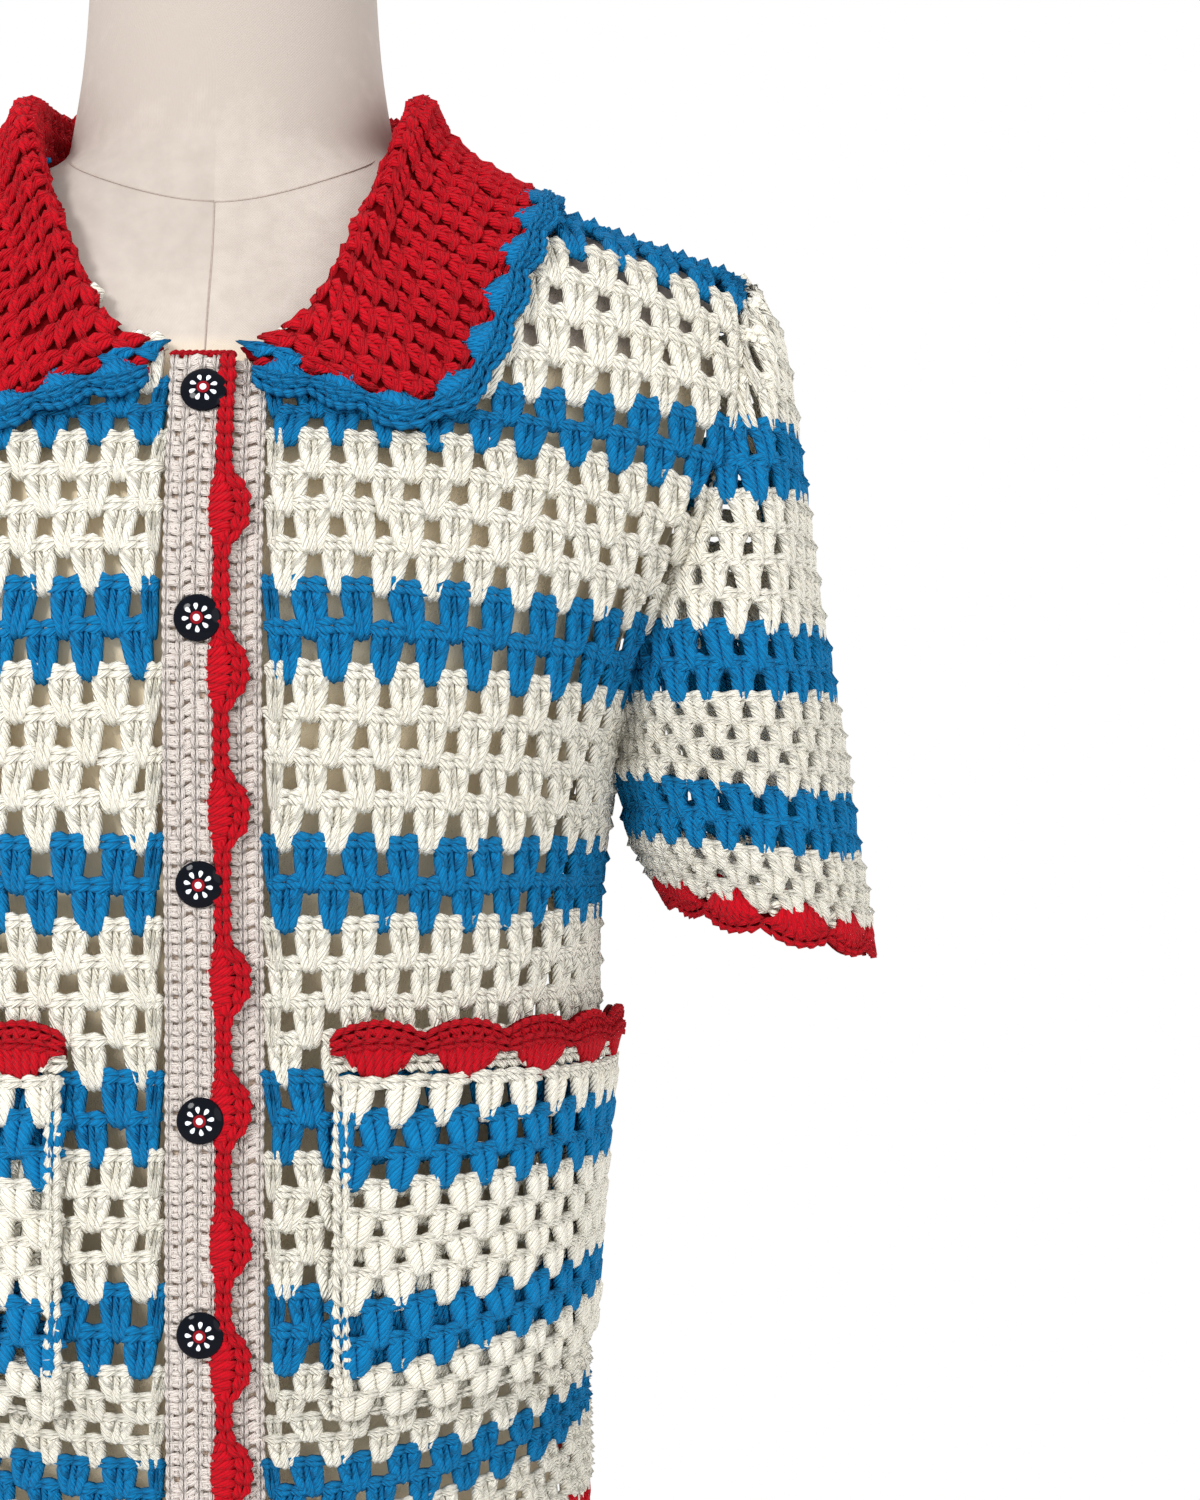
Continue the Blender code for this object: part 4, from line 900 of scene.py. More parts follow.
def add_chain(yarn, fabric, row_of, use, kind=0, sides=4):
    """A chain of links along a fabric, at one row or at the row that row_of gives for a place."""
    step, spread, radius, lift = CHAINS[use]
    stamp = Stamp(chain_links(step, 1, 0.0, spread, radius, sides))
    length = float(fabric.length(0.5))
    n = max(2, int(round(length / step)))
    t = (np.arange(n) + 0.5) / n
    row = np.array([row_of(place) if callable(row_of) else row_of for place in t])
    u, v, w = stamp.uvw
    longer, wider = RANDOM.uniform(-1.0, 1.0, (2, n, 1)) * LINK_JITTER
    local = np.array([fabric.depth(place) for place in t])[:, None]
    placed = fabric.at(row[:, None] + v * (1 + wider) / local, t[:, None] + u * (1 + longer) / length,
                       w + lift)
    yarn.add(stamp, placed, kind, fabric.outward)


def add_shells(yarn, fabric, places, half, length, use):
    """Fans of posts, one at each place of a fabric of that length, reaching half to each side."""
    posts, foot, reach, radius, start, lift = SHELLS[use]
    for place in places:
        depth = fabric.depth(place)
        for k in np.linspace(-1.0, 1.0, posts):
            begin = start * (1.0 - 0.7 * k * k)
            table = ((k * half * foot, begin, lift - 0.0010, 0.7 * radius),
                     (k * half * (foot + 0.08), begin + 0.20, lift + 0.0005, radius),
                     (k * half * (0.34 + 0.66 * foot), 0.40, 0.0008, 1.15 * radius),
                     (k * half * 0.88, reach - 0.18 * abs(k), 0.0001, 0.9 * radius))
            stamp = Stamp([strand(table, depth, phase=math.pi / 4)])
            u, v, w = stamp.uvw
            yarn.add(stamp, fabric.at(v / depth, place + u / length, w), 0, fabric.outward)


def backing(name, fabric, use, finishes, step=1):
    """Closed thin wall under the stitches; its dark finishes are painted shade. Of two finishes the second is
    its first row's.
    """
    grid, normal = fabric.grid[:, ::step], fabric.normal[:, ::step]
    rows, columns = grid.shape[:2]
    points = np.concatenate([(grid + normal * w).reshape(-1, 3) for w in BACKS[use][::-1]])
    count = rows * columns
    quads = quads_of(rows, columns)
    if fabric.outward < 0:
        quads = [quad[::-1] for quad in quads]
    used = {side for face in quads for side in zip(face, face[1:] + face[:1])}
    faces = quads + [tuple(index + count for index in face[::-1]) for face in quads]
    faces += [(b, a, a + count, b + count) for a, b in sorted(used) if (b, a) not in used]
    kinds = np.zeros(len(faces), np.int32)
    kinds[:columns - 1] = kinds[len(quads):len(quads) + columns - 1] = len(finishes) - 1
    return mesh_object(name, points.tolist(), faces, finishes, kinds)


# ---------------------------------------------------------------- materials
class Value:
    """A shader socket that is reckoned with like a number."""

    def __init__(self, tree, socket):
        self.tree, self.socket = tree, socket

    def __add__(self, other):
        return maths("ADD", self, other)

    def __sub__(self, other):
        return maths("SUBTRACT", self, other)

    def __rsub__(self, other):
        return maths("SUBTRACT", other, self)

    def __mul__(self, other):
        return maths("MULTIPLY", self, other)

    def sine(self):
        return maths("SINE", self)

    def limited(self):
        """Kept between 0 and 1."""
        return maths("MINIMUM", maths("MAXIMUM", self, 0.0), 1.0)


def feed(tree, slot, value):
    """Give a node's input a Value, a colour or a number."""
    if isinstance(value, Value):
        tree.links.new(value.socket, slot)
    else:
        slot.default_value = (*value, 1.0) if slot.type == "RGBA" else value


def maths(operation, *values):
    tree = next(value.tree for value in values if isinstance(value, Value))
    made = tree.nodes.new("ShaderNodeMath")
    made.operation = operation
    for slot, value in zip(made.inputs, values):
        feed(tree, slot, value)
    return Value(tree, made.outputs[0])


class Finish:
    """A material in the making, with the inputs of its Principled shader by name."""

    def __init__(self, name, **inputs):
        self.material = bpy.data.materials.new(name)
        self.material.use_nodes = True
        self.tree = self.material.node_tree
        self.shader = self.tree.nodes["Principled BSDF"]
        for key, value in inputs.items():
            self.shader.inputs[INPUTS[key]].default_value = value

    def node(self, kind, output, **inputs):
        """Output of a new node, its inputs given by name."""
        made = self.tree.nodes.new("ShaderNode" + kind)
        for key, value in inputs.items():
            feed(self.tree, made.inputs[key.replace("_", " ")], value)
        return Value(self.tree, made.outputs[output])

    def place(self, stretch=None):
        """Place in the object's own space, stretched along its axes."""
        found = self.node("TexCoord", "Object")
        return self.node("Mapping", 0, Vector=found, Scale=stretch) if stretch else found

    def parts(self, vector):
        """X, Y and Z of a vector."""
        split = self.tree.nodes.new("ShaderNodeSeparateXYZ")
        self.tree.links.new(vector.socket, split.inputs[0])
        return [Value(self.tree, socket) for socket in split.outputs]

    def uv_parts(self):
        marks = self.tree.nodes.new("ShaderNodeUVMap")
        marks.uv_map = "yarn"
        return self.parts(Value(self.tree, marks.outputs["UV"]))[:2]

    def noise(self, scale, detail=2.0):
        """Noise whose middle part is stretched to run from 0 to 1."""
        found = self.node("TexNoise", "Fac", Vector=self.place(), Scale=scale, Detail=detail)
        return self.node("MapRange", "Result", Value=found, From_Min=0.3, From_Max=0.7)

    def mixed(self, factor, first, second):
        """A mixture of two colours, each given as three numbers or as a Value."""
        mix = self.tree.nodes.new("ShaderNodeMix")
        mix.data_type = "RGBA"
        for index, value in ((0, factor), (6, first), (7, second)):
            feed(self.tree, mix.inputs[index], value)
        return Value(self.tree, mix.outputs[2])

    def done(self, colour, relief=None, strength=0.0, distance=0.0):
        """The material, with its colour and its relief."""
        feed(self.tree, self.shader.inputs["Base Color"], colour)
        if relief:
            normal = self.node("Bump", "Normal", Height=relief, Strength=strength, Distance=distance)
            feed(self.tree, self.shader.inputs["Normal"], normal)
        return self.material


INPUTS = {"rough": "Roughness", "metal": "Metallic", "specular": "Specular IOR Level",
          "sheen": "Sheen Weight", "sheen_rough": "Sheen Roughness",
          "coat": "Coat Weight", "coat_rough": "Coat Roughness"}


def yarn_material(name, colour, deep, sheen=0.03):
    """Plied matt yarn: the turns of the ply, fine fibres, slightly uneven dye and painted shade in the ply's
    grooves.
    """
    made = Finish(name, rough=0.92, sheen=sheen, sheen_rough=0.6, specular=0.06)
    along_yarn, round_yarn = made.uv_parts()
    helix = round_yarn * (2 * math.pi) * 2.0 + along_yarn * (2 * math.pi)
    relief = helix.sine() * 0.45 + (helix * 3.0).sine() * 0.55
    fibre = made.noise(900.0, 3.0)
    patch = made.noise(60.0)
    # Painted shade: the yarn takes its deep colour in the grooves of the ply, and also in patches of uneven
    # dye.
    shade = (0.05 - relief * 0.24 + patch * 0.16).limited()
    return made.done(made.mixed(shade, colour, deep), relief + fibre * 0.5, 0.9, 0.00065)


def linen_material():
    """Plain woven linen; the UV counts metres round and up the form."""
    made = Finish("linen", rough=0.9, sheen=0.05, specular=0.1)
    round_form, up_form = made.uv_parts()
    turns = 2 * math.pi / LINEN_THREADS
    weave = (round_form * turns).sine() * (up_form * turns).sine()
    slub = made.noise(160.0, 3.0)
    patch = made.noise(14.0, 3.0)
    z = made.parts(made.place())[2]
    # Painted shade: the linen is darker towards the top of the neck.
    neck = ((z - (CHEST + 0.150)) * 9.0).limited()
    # Painted light: from below the neckline to the hem the linen is painted lighter and warmer, for the warm
    # light that reaches it through and off the cloth.
    under = (((CHEST + NECK_TOP + 0.012) - z) * 60.0).limited() * ((z - (CHEST - 0.322)) * 40.0).limited()
    shade = (patch * 0.45 + slub * 0.35 + weave * 0.10 + neck * 0.7).limited() - under * 0.2
    colour = made.mixed(under, made.mixed(shade, (0.610, 0.545, 0.490), (0.470, 0.410, 0.365)),
                        made.mixed(shade, (0.950, 0.820, 0.600), (0.860, 0.730, 0.510)))
    return made.done(colour, weave * 0.5 + slub * 0.5, 0.35, 0.0003)


def wood_material():
    made = Finish("varnished_wood", rough=0.38, coat=0.3, coat_rough=0.2)
    place = made.place((1.0, 9.0, 9.0))
    rings = made.node("TexNoise", "Fac", Vector=place, Scale=6.0, Detail=6.0, Distortion=1.2)
    fine = made.node("TexNoise", "Fac", Vector=place, Scale=60.0, Detail=3.0)
    colour = made.mixed(rings * 0.8 + fine * 0.3, (0.46, 0.27, 0.13), (0.26, 0.13, 0.055))
    return made.done(colour, fine, 0.12, 0.0004)


def steel_material():
    made = Finish("brushed_metal", metal=1.0, rough=0.32)
    lines = made.node("TexNoise", "Fac", Vector=made.place((1.0, 1.0, 60.0)), Scale=30.0, Detail=4.0)
    return made.done(made.mixed(lines, (0.62, 0.62, 0.63), (0.48, 0.48, 0.49)), lines, 0.15, 0.0003)


def enamel(name, colour, rough):
    """Coat of one colour over a faintly uneven print."""
    made = Finish(name, rough=rough, specular=0.08)
    return made.done(made.mixed(made.noise(900.0), colour, tuple(0.82 * part for part in colour)))


def floor_material():
    made = Finish("floor_paint", rough=0.7)
    return made.done(made.mixed(made.noise(2.0), (0.86, 0.86, 0.86), (0.84, 0.84, 0.84)))


LINEN_THREADS = 0.00115  # distance of the linen's threads
# Each yarn's second colour is painted shade for its ply's grooves, also used for its darker dye patches.
CREAM_YARN = yarn_material("cream_yarn", (0.955, 0.925, 0.825), (0.800, 0.715, 0.510))
BLUE_YARN = yarn_material("blue_yarn", (0.004, 0.215, 0.500), (0.000, 0.060, 0.160))
RED_YARN = yarn_material("red_yarn", (0.600, 0.004, 0.014), (0.230, 0.001, 0.005))
BAND_YARN = yarn_material("band_yarn", (0.990, 0.900, 0.835), (0.950, 0.810, 0.720), sheen=0.15)
# Dark copies of the yarns: painted shade for the walls under the stitches, seen through the holes.
RED_PAINTED_SHADE = yarn_material("red_yarn_painted_shade", (0.150, 0.001, 0.003), (0.070, 0.001, 0.002), sheen=0.0)
BLUE_PAINTED_SHADE = yarn_material("blue_yarn_painted_shade", (0.001, 0.060, 0.170), (0.000, 0.030, 0.090), sheen=0.0)
BAND_PAINTED_SHADE = yarn_material("band_yarn_painted_shade", (0.740, 0.590, 0.470), (0.600, 0.430, 0.320), sheen=0.0)
STRIPED = (CREAM_YARN, BLUE_YARN)
RED_ON_CREAM = (RED_YARN, RED_PAINTED_SHADE, CREAM_YARN, CREAM_YARN)
BLUE_ON_RED = (BLUE_YARN, BLUE_PAINTED_SHADE, RED_YARN, RED_PAINTED_SHADE)
LINEN_CLOTH = linen_material()
WOOD_FINISH = wood_material()
STEEL_FINISH = steel_material()
BUTTON_BLACK_FINISH = enamel("button_black", (0.003, 0.004, 0.008), 0.06)
BUTTON_WHITE_FINISH = enamel("button_white", (0.86, 0.91, 0.97), 0.2)
BUTTON_RED_FINISH = enamel("button_red", (0.26, 0.006, 0.012), 0.2)
SEAM_THREAD = enamel("linen_seam", (0.50, 0.42, 0.37), 0.9)

# ---------------------------------------------------------------- fabrics of the body and sleeves
SIDES = ((1, "left"), (-1, "right"))    # the wearer's
PANEL_ROWS = [0.5 * k for k in range(2 * ROWS + 1)]
PANEL_CLUSTERS = 11.0    # clusters on one unit of t, in the lowest row from edge to edge
SLEEVE_CLUSTERS = 12.5
WAIST_ROW, CHEST_ROW = 24.0, 30.0
CHEST_UNIT = 0.198       # length of one unit of t from the chest row up
PANEL_REACH, PANEL_COLUMNS = 1.45, 88   # t at the last column, and the columns of a half
SLEEVE_REACH, SLEEVE_SIDE_COLUMNS = 1.06, 60
LINE_POINTS = 61
SHOULDER_ROWS = 3        # rows over the shoulder, above the last that is counted
STITCH_MIDDLE = 0.55     # height of a cluster's middle in its row
NECK_MARGIN = 0.002      # how far clusters stay from the neckline


def body_is_blue(row):
    return row % 6 in (4, 5)


def sleeve_is_blue(row):
    return row in (3, 4, 9, 10, 15, 16)


def pocket_is_blue(row):
    return row in (2, 3, 8, 9)


def extended(rows, lines):
    """One more line below the first, so that the lowest clusters' feet have a place."""
    return [2 * rows[0] - rows[2]] + list(rows), [2 * lines[0] - lines[2]] + list(lines)


def half_lines(rows, line_of, unit_length, last, columns):
    """Half rows spread over t from 0 to last and carried straight on, and how far each reaches."""
    lines, reach = [], []
    for row in rows:
        line = line_of(row)
        along = distances(line)
        wanted = np.linspace(0.0, last, columns) * unit_length(row)
        past = np.maximum(wanted - along[-1], 0.0)[:, None]
        lines.append(resampled(line, along, wanted) + past * unit(line[-1] - line[-4]))
        reach.append(along[-1] / unit_length(row))
    return lines, reach


def both_halves(rows, line_of, unit_length, last, columns):
    """Fabric, seen from its other side, whose t is 0 in the middle and counts both ways."""
    (left, _), (right, reach) = (half_lines(rows, lambda row: line_of(row, hand), unit_length, last, columns)
                                 for hand in (1, -1))
    both = [np.concatenate([before[:0:-1], after]) for before, after in zip(right, left)]
    rows, lines = extended(rows, both)
    reach = [reach[0]] + reach
    return Fabric(rows, lines, -1, -last, last, low=[-r for r in reach], high=reach)


def panel_unit(line_of):
    """Length of one unit of t in a row: the whole row below the waist, then CHEST_UNIT."""
    lengths = {row: line_length(line_of(row)) for row in PANEL_ROWS if row <= WAIST_ROW}

    def unit_length(row):
        if row <= WAIST_ROW:
            return lengths[row]
        return float(np.interp(row, (WAIST_ROW, CHEST_ROW), (lengths[WAIST_ROW], CHEST_UNIT)))
    return unit_length


def front_fabric(hand):
    def line_of(row):
        return row_span(row, FRONT_START[hand], None, LINE_POINTS, "front", hand)

    lines, reach = half_lines(PANEL_ROWS, line_of, panel_unit(line_of), PANEL_REACH, PANEL_COLUMNS)
    rows, lines = extended(PANEL_ROWS, lines)
    return Fabric(rows, lines, hand, 0.0, PANEL_REACH, low=[0.0] * len(rows), high=[reach[0]] + reach)


def back_fabric():
    def line_of(row, hand):
        return row_span(row, 0.0, None, LINE_POINTS, "back", hand)

    unit_length = panel_unit(lambda row: line_of(row, 1))
    return both_halves(PANEL_ROWS, line_of, unit_length, PANEL_REACH, PANEL_COLUMNS)


def sleeve_fabric(hand):
    body_row_of = {0.5 * k: None for k in range(2 * CUFF_TO_UNDERARM)}
    for body_row in np.linspace(UNDERARM_ROW, ROWS - 0.3, 34):
        body_row_of[sleeve_row_of(body_row)] = body_row

    def line_of(row, side):
        line = sleeve_line(row, 2 * LINE_POINTS - 1, hand, body_row_of[row])
        return line[LINE_POINTS - 1:] if side * hand < 0 else line[LINE_POINTS - 1::-1]

    half = line_length(line_of(0.0, 1))
    return both_halves(list(body_row_of), line_of, lambda row: half, SLEEVE_REACH, SLEEVE_SIDE_COLUMNS)


FRONTS = {hand: front_fabric(hand) for hand, _ in SIDES}
BACK = back_fabric()
SLEEVES = {hand: sleeve_fabric(hand) for hand, _ in SIDES}


def keeper(fabric, has_neckline):
    """Test that leaves out the clusters past the shoulder's end and inside the neckline."""
    def keep(row, t):
        if row >= ROWS - 1 and abs(t) >= fabric.reach(row + 0.5)[1] - 0.2 / PANEL_CLUSTERS:
            return False
        x, _, z = fabric.at(row + STITCH_MIDDLE, t) - (0.0, 0.0, CHEST)
        return not (has_neckline and z > FRONT_NECK[0][1] and abs(x) < neck_x(z) + NECK_MARGIN)
    return keep


def shoulder_fabric(fabric):
    """The cloth above the last row as rows of its own: over the shoulder it is several rows high."""
    rows = np.arange(-1.0, SHOULDER_ROWS + 0.1, 0.5)
    body_rows = ROWS - 1 + rows / SHOULDER_ROWS
    places = np.linspace(fabric.first, fabric.last, fabric.grid.shape[1])
    return Fabric(rows, [fabric.at(row, places) for row in body_rows], fabric.outward, fabric.first,
                  fabric.last, *fabric.reach(body_rows))


def striped_pieces(name, nets):
    """The clusters of a net as the piece that stands for its node, and its chains."""
    posts, chains = nets
    return (finish_piece(posts.build(name + "_posts", STRIPED), [name]),
            finish_piece(chains.build(name + "_chains", STRIPED), []))


def build_panel(name, fabric, has_neckline):
    keep = keeper(fabric, has_neckline)
    nets = crochet_net(fabric, range(ROWS - 1), PANEL_CLUSTERS, body_is_blue, keep)
    crochet_net(shoulder_fabric(fabric), range(SHOULDER_ROWS), PANEL_CLUSTERS, lambda row: True,
                lambda row, t: keep(ROWS - 1 + (row + STITCH_MIDDLE) / SHOULDER_ROWS - STITCH_MIDDLE, t),
                bare_row=SHOULDER_ROWS - 1, overlap=0.0, into=nets)
    made, tops = striped_pieces(name, nets)


def build_nets():
    for hand, label in SIDES:
        build_panel("front_" + label, FRONTS[hand], True)
    build_panel("back", BACK, False)
    for hand, label in SIDES:
        made, tops = striped_pieces("sleeve_" + label, crochet_net(
            SLEEVES[hand], range(SLEEVE_LEVELS[-1][0]), SLEEVE_CLUSTERS, sleeve_is_blue, plump=1.38,
            post=PAIRED_POSTS))


# ---------------------------------------------------------------- pockets
POCKET_NET_ROWS = 11     # the pocket's own rows, a little closer than those of the body
POCKET_NET_TOP = 17.9    # body row at which they end
POCKET_CLUSTERS = 10.0


def build_pockets():
    for hand, label in SIDES:
        rows = [0.5 * k for k in range(2 * POCKET_NET_ROWS + 1)]
        step = (POCKET_NET_TOP - POCKET_ROWS[0]) / POCKET_NET_ROWS
        lines = [pocket_line(POCKET_ROWS[0] + row * step, 41, hand) for row in rows]
        fabric = Fabric(*extended(rows, lines), outward=hand)
        made, tops = striped_pieces("pocket_" + label, crochet_net(
            fabric, range(POCKET_NET_ROWS), POCKET_CLUSTERS, pocket_is_blue, plump=1.32, post=PAIRED_POSTS,
            chain=PLAIN_CHAIN))
        border = Yarn()
        inner_edge = Fabric((0.0, 0.5, 1.0), fabric.grid[:, :3].transpose(1, 0, 2)[:, 1:], -hand)
        add_chain(border, inner_edge, 0.4, "pocket_side")
        add_chain(border, fabric, 0.02, "pocket_foot")
        edge = finish_piece(border.build("pocket_%s_border" % label, (CREAM_YARN,)), [])


# ---------------------------------------------------------------- scalloped edgings
def edging_fabric(base, before, depth, closed, outward, settle, count):
    """Grid of an edging, from the line that it is worked on (row 0) to its rim (row 1).

    Its columns are evenly spaced along that line, and settle lays the rim on what is under it.
    """
    away = square_to(base, unit(base - before), closed)
    rim = base + away * (SEAM + depth[:, None])
    if settle:
        rim = settle(rim)
    start = base + away * SEAM
    inner = base - away * 0.4 * (np.linalg.norm(rim - start, axis=1, keepdims=True))
    parts = np.linspace(0.0, 1.0, 4)
    along = distances(start)
    wanted = np.linspace(0.0, along[-1], count)
    lines = [inner] + [start + (rim - start) * part for part in parts]
    return Fabric([-0.4, *parts], [resampled(line, along, wanted) for line in lines], outward)


def build_edging(name, use, base, before, outward, yarns=RED_ON_CREAM,
                 closed=False, settle=None, knobbly=False):
    """A row of shells with a chain along its rim, and a second one where it is knobbly.

    yarns are its own, its painted shade for the wall under it, and two of the piece that it is worked on: its
    yarn, and the finish of the wall's first row, which is painted shade where it is dark.
    """
    own, own_painted_shade, worked_on, worked_on_wall = yarns
    shallow, deep, period = EDGINGS[use]
    total = line_length(base)
    waves = max(1, round(total / period))
    places = (np.arange(waves) + 0.5) / waves
    fabric = edging_fabric(base, before, scallops(base, period, shallow, deep), closed, outward, settle,
                           20 * waves + 1)
    shell = Yarn()
    add_shells(shell, fabric, places, 0.50 * total / waves, total, "edging")
    add_chain(shell, fabric, 0.86, "rim")
    if knobbly:
        add_chain(shell, fabric, 0.50, "knobs")
    add_chain(shell, fabric, 0.05, "worked_on", kind=1)
    stitches = finish_piece(shell.build(name + "_stitches", (own, worked_on)), [name])
    shown = Fabric(fabric.rows[1:], fabric.grid[1:], outward)
    # The wall under the shells is painted shade.
    cloth = finish_piece(backing(name + "_painted_shade_wall", shown, "edging", (own_painted_shade, worked_on_wall), 2), [])


def full_back_row(row):
    left, right = (row_span(row, 0.0, None, 41, "back", hand) for hand in (1, -1))
    return np.concatenate([right[:0:-1], left])


def build_hem_edgings():
    edges = [("left", lambda row: row_line(row, FRONT_START[1], 41, "front", 1), -1),
             ("right", lambda row: row_line(row, FRONT_START[-1], 41, "front", -1), 1),
             ("back", full_back_row, 1)]
    for label, line, outward in edges:
        base, before = paired(line(0), line(0.6), HEM_PERIOD / 12)
        build_edging("hem_edging_" + label, "hem", base, before, outward)


def build_cuff_edgings():
    for hand, label in SIDES:
        base, before = paired(sleeve_line(0, 61, hand), sleeve_line(0.6, 61, hand), CUFF_PERIOD / 12)
        build_edging("cuff_edging_" + label, "cuff", base, before, -hand, closed=True)


def build_pocket_edgings():
    for hand, label in SIDES:
        base, before = (pocket_line(row, 61, hand) for row in (POCKET_ROWS[1], POCKET_ROWS[1] - 0.5))
        build_edging("pocket_edging_" + label, "pocket", base, before, hand, knobbly=True)


# ---------------------------------------------------------------- collar
BLUE_TIP = 0.016         # the collar's front ends are blue for this length
COLLAR_POINTS = 41       # points of a profile across the collar
COLLAR_FOLD = 14         # the one that lies about on the fold


def collar_profiles(count):
    """Profiles across the collar, evenly spaced along its fold from end to end."""
    stations = [(1, "front", 0.0)]
    for hand, side, first, last, steps in (
            (1, "front", 0, RIDGE_STATION, 61), (1, "back", RIDGE_STATION, BACK_STATION, 31),
            (-1, "back", BACK_STATION, RIDGE_STATION, 31), (-1, "front", RIDGE_STATION, 0, 61)):
        stations += [(hand, side, station) for station in np.linspace(first, last, steps)[1:]]
    profiles = np.array([evenly(collar_profile(*station), COLLAR_POINTS) for station in stations])
    along = distances(profiles[:, COLLAR_FOLD])
    flat = resampled(profiles.reshape(len(profiles), -1), along, np.linspace(0.0, along[-1], count))
    return flat.reshape(count, COLLAR_POINTS, 3)


def collar_fabric(profiles, plain):
    """The collar in rows of equal height, counted from the neck seam.

    Past the edge the rows stop, so their normals come from the plain grid.
    """
    lengths = np.linalg.norm(np.diff(profiles, axis=1), axis=2).sum(axis=1)
    rows = np.arange(0.0, lengths.max() / COLLAR_ROW + 1.0, 0.5)
    index = np.arange(len(profiles))
    lines, normals = [], []
    for row in rows:
        share = np.minimum(row * COLLAR_ROW / lengths, 1.0) * (COLLAR_POINTS - 1)
        low = np.minimum(share.astype(int), COLLAR_POINTS - 2)
        part = (share - low)[:, None]
        lines.append(profiles[index, low] * (1 - part) + profiles[index, low + 1] * part)
        normals.append(plain.normal[np.rint(share).astype(int), index])
    fabric = Fabric(rows, lines, -1)
    fabric.normal = np.array(normals)
    return fabric, lengths


def build_collar():
    profiles = collar_profiles(161)
    plain = Fabric(np.linspace(0.0, 1.0, COLLAR_POINTS), profiles.transpose(1, 0, 2), -1)
    fabric, lengths = collar_fabric(profiles, plain)

    def keep(row, t):
        length = lengths[int(round(t * (len(lengths) - 1)))]
        return (row + 0.30) * COLLAR_ROW < length and 0.008 < t < 0.992

    def clusters_in(row):
        return round(float(fabric.length(row + 0.5)) / COLLAR_PITCH)

    row, t, scale, narrow = rows_of_stamps(fabric, range(int(fabric.rows[-1])), clusters_in, COLLAR_PITCH,
                                           keep)
    placed = place_stamp(fabric, COLLAR_CLUSTER, row, t, scale, 1.0 / COLLAR_ROW, 1.2,
                         np.where(row % 2 == 0, 2 * LEAN, -2 * LEAN), narrow)
    tip = BLUE_TIP / fabric.length(4.0)
    clusters = Yarn()
    clusters.add(COLLAR_CLUSTER, placed, ((t < tip) | (t > 1.0 - tip)).astype(int), fabric.outward)
    stitches = finish_piece(clusters.build("collar_stitches", (RED_YARN, BLUE_YARN)), ["collar"])
    # The wall under the collar's stitches is painted shade.
    cloth = finish_piece(backing("collar_painted_shade_wall", plain, "collar", [RED_PAINTED_SHADE], 2), [])
    base, before = paired(profiles[:, -1], profiles[:, -5], COLLAR_PERIOD / 10)
    build_edging("collar_edging", "collar", base, before, -1, BLUE_ON_RED, settle=on_panels,
                 knobbly=True)


# ---------------------------------------------------------------- button bands
BAND_FOOT = ROW_LEVELS[0][1] - BAND_DROP
RIM_IN = 0.0034          # where the placket's chain runs between two scallops
RIM_NARROW = 0.0057      # width of the edging there
RIM_SHARE = 1.11         # how far the chain follows the scallops out


def band_fabric(edges, lift, columns):
    """Bands are worked lengthwise: rows run up the front, counted across."""
    heights = np.linspace(BAND_FOOT, NECK_TOP, 121)
    across = np.linspace(*edges, columns * 2 + 1)
    lines = [np.array([lifted(x, z, lift) for z in heights]) for x in across]
    return Fabric(np.linspace(0.0, columns, columns * 2 + 1), lines, -1)


def add_band_stitches(yarn, fabric, columns):
    length = float(fabric.length(1.0))
    n = int(round(length / BAND_STITCH))
    wide = fabric.depth(0.5)
    for number in range(columns):
        way = 1.0 if number % 2 else -1.0
        stamp = Stamp([strand([(hand * aside + way * lean, up, out, radius)
                               for aside, lean, up, out, radius in BAND_STRAND], wide) for hand in (-1, 1)])
        t = (np.arange(n) + 0.5 + 0.25 * (number % 2)) / n
        t = t[t < 1.0]
        placed = place_stamp(fabric, stamp, np.full(len(t), number), t, 1.0 / length, 1.0 / wide, 0.8)
        yarn.add(stamp, placed, 0, fabric.outward)


def build_bands():
    for name, edges, lift, columns, flat in (("under_band", UNDER_BAND_X, 0.0, 4, (0.027, 0.468)),
                                             ("button_band", BAND_X, BAND_LAYER, 3, (0.017, 0.468))):
        fabric = band_fabric(edges, lift, columns)
        yarn = Yarn()
        add_band_stitches(yarn, fabric, columns)
        for line in range(columns + 1):
            row = min(max(line, 0.12), columns - 0.12)
            add_chain(yarn, fabric, row, "band", sides=3)
        stitches = finish_piece(yarn.build(name + "_stitches", (BAND_YARN,)), [name])
        # The wall under the band's stitches is painted shade.
        cloth = finish_piece(backing(name + "_painted_shade_wall", fabric, "band", [BAND_PAINTED_SHADE]), [])


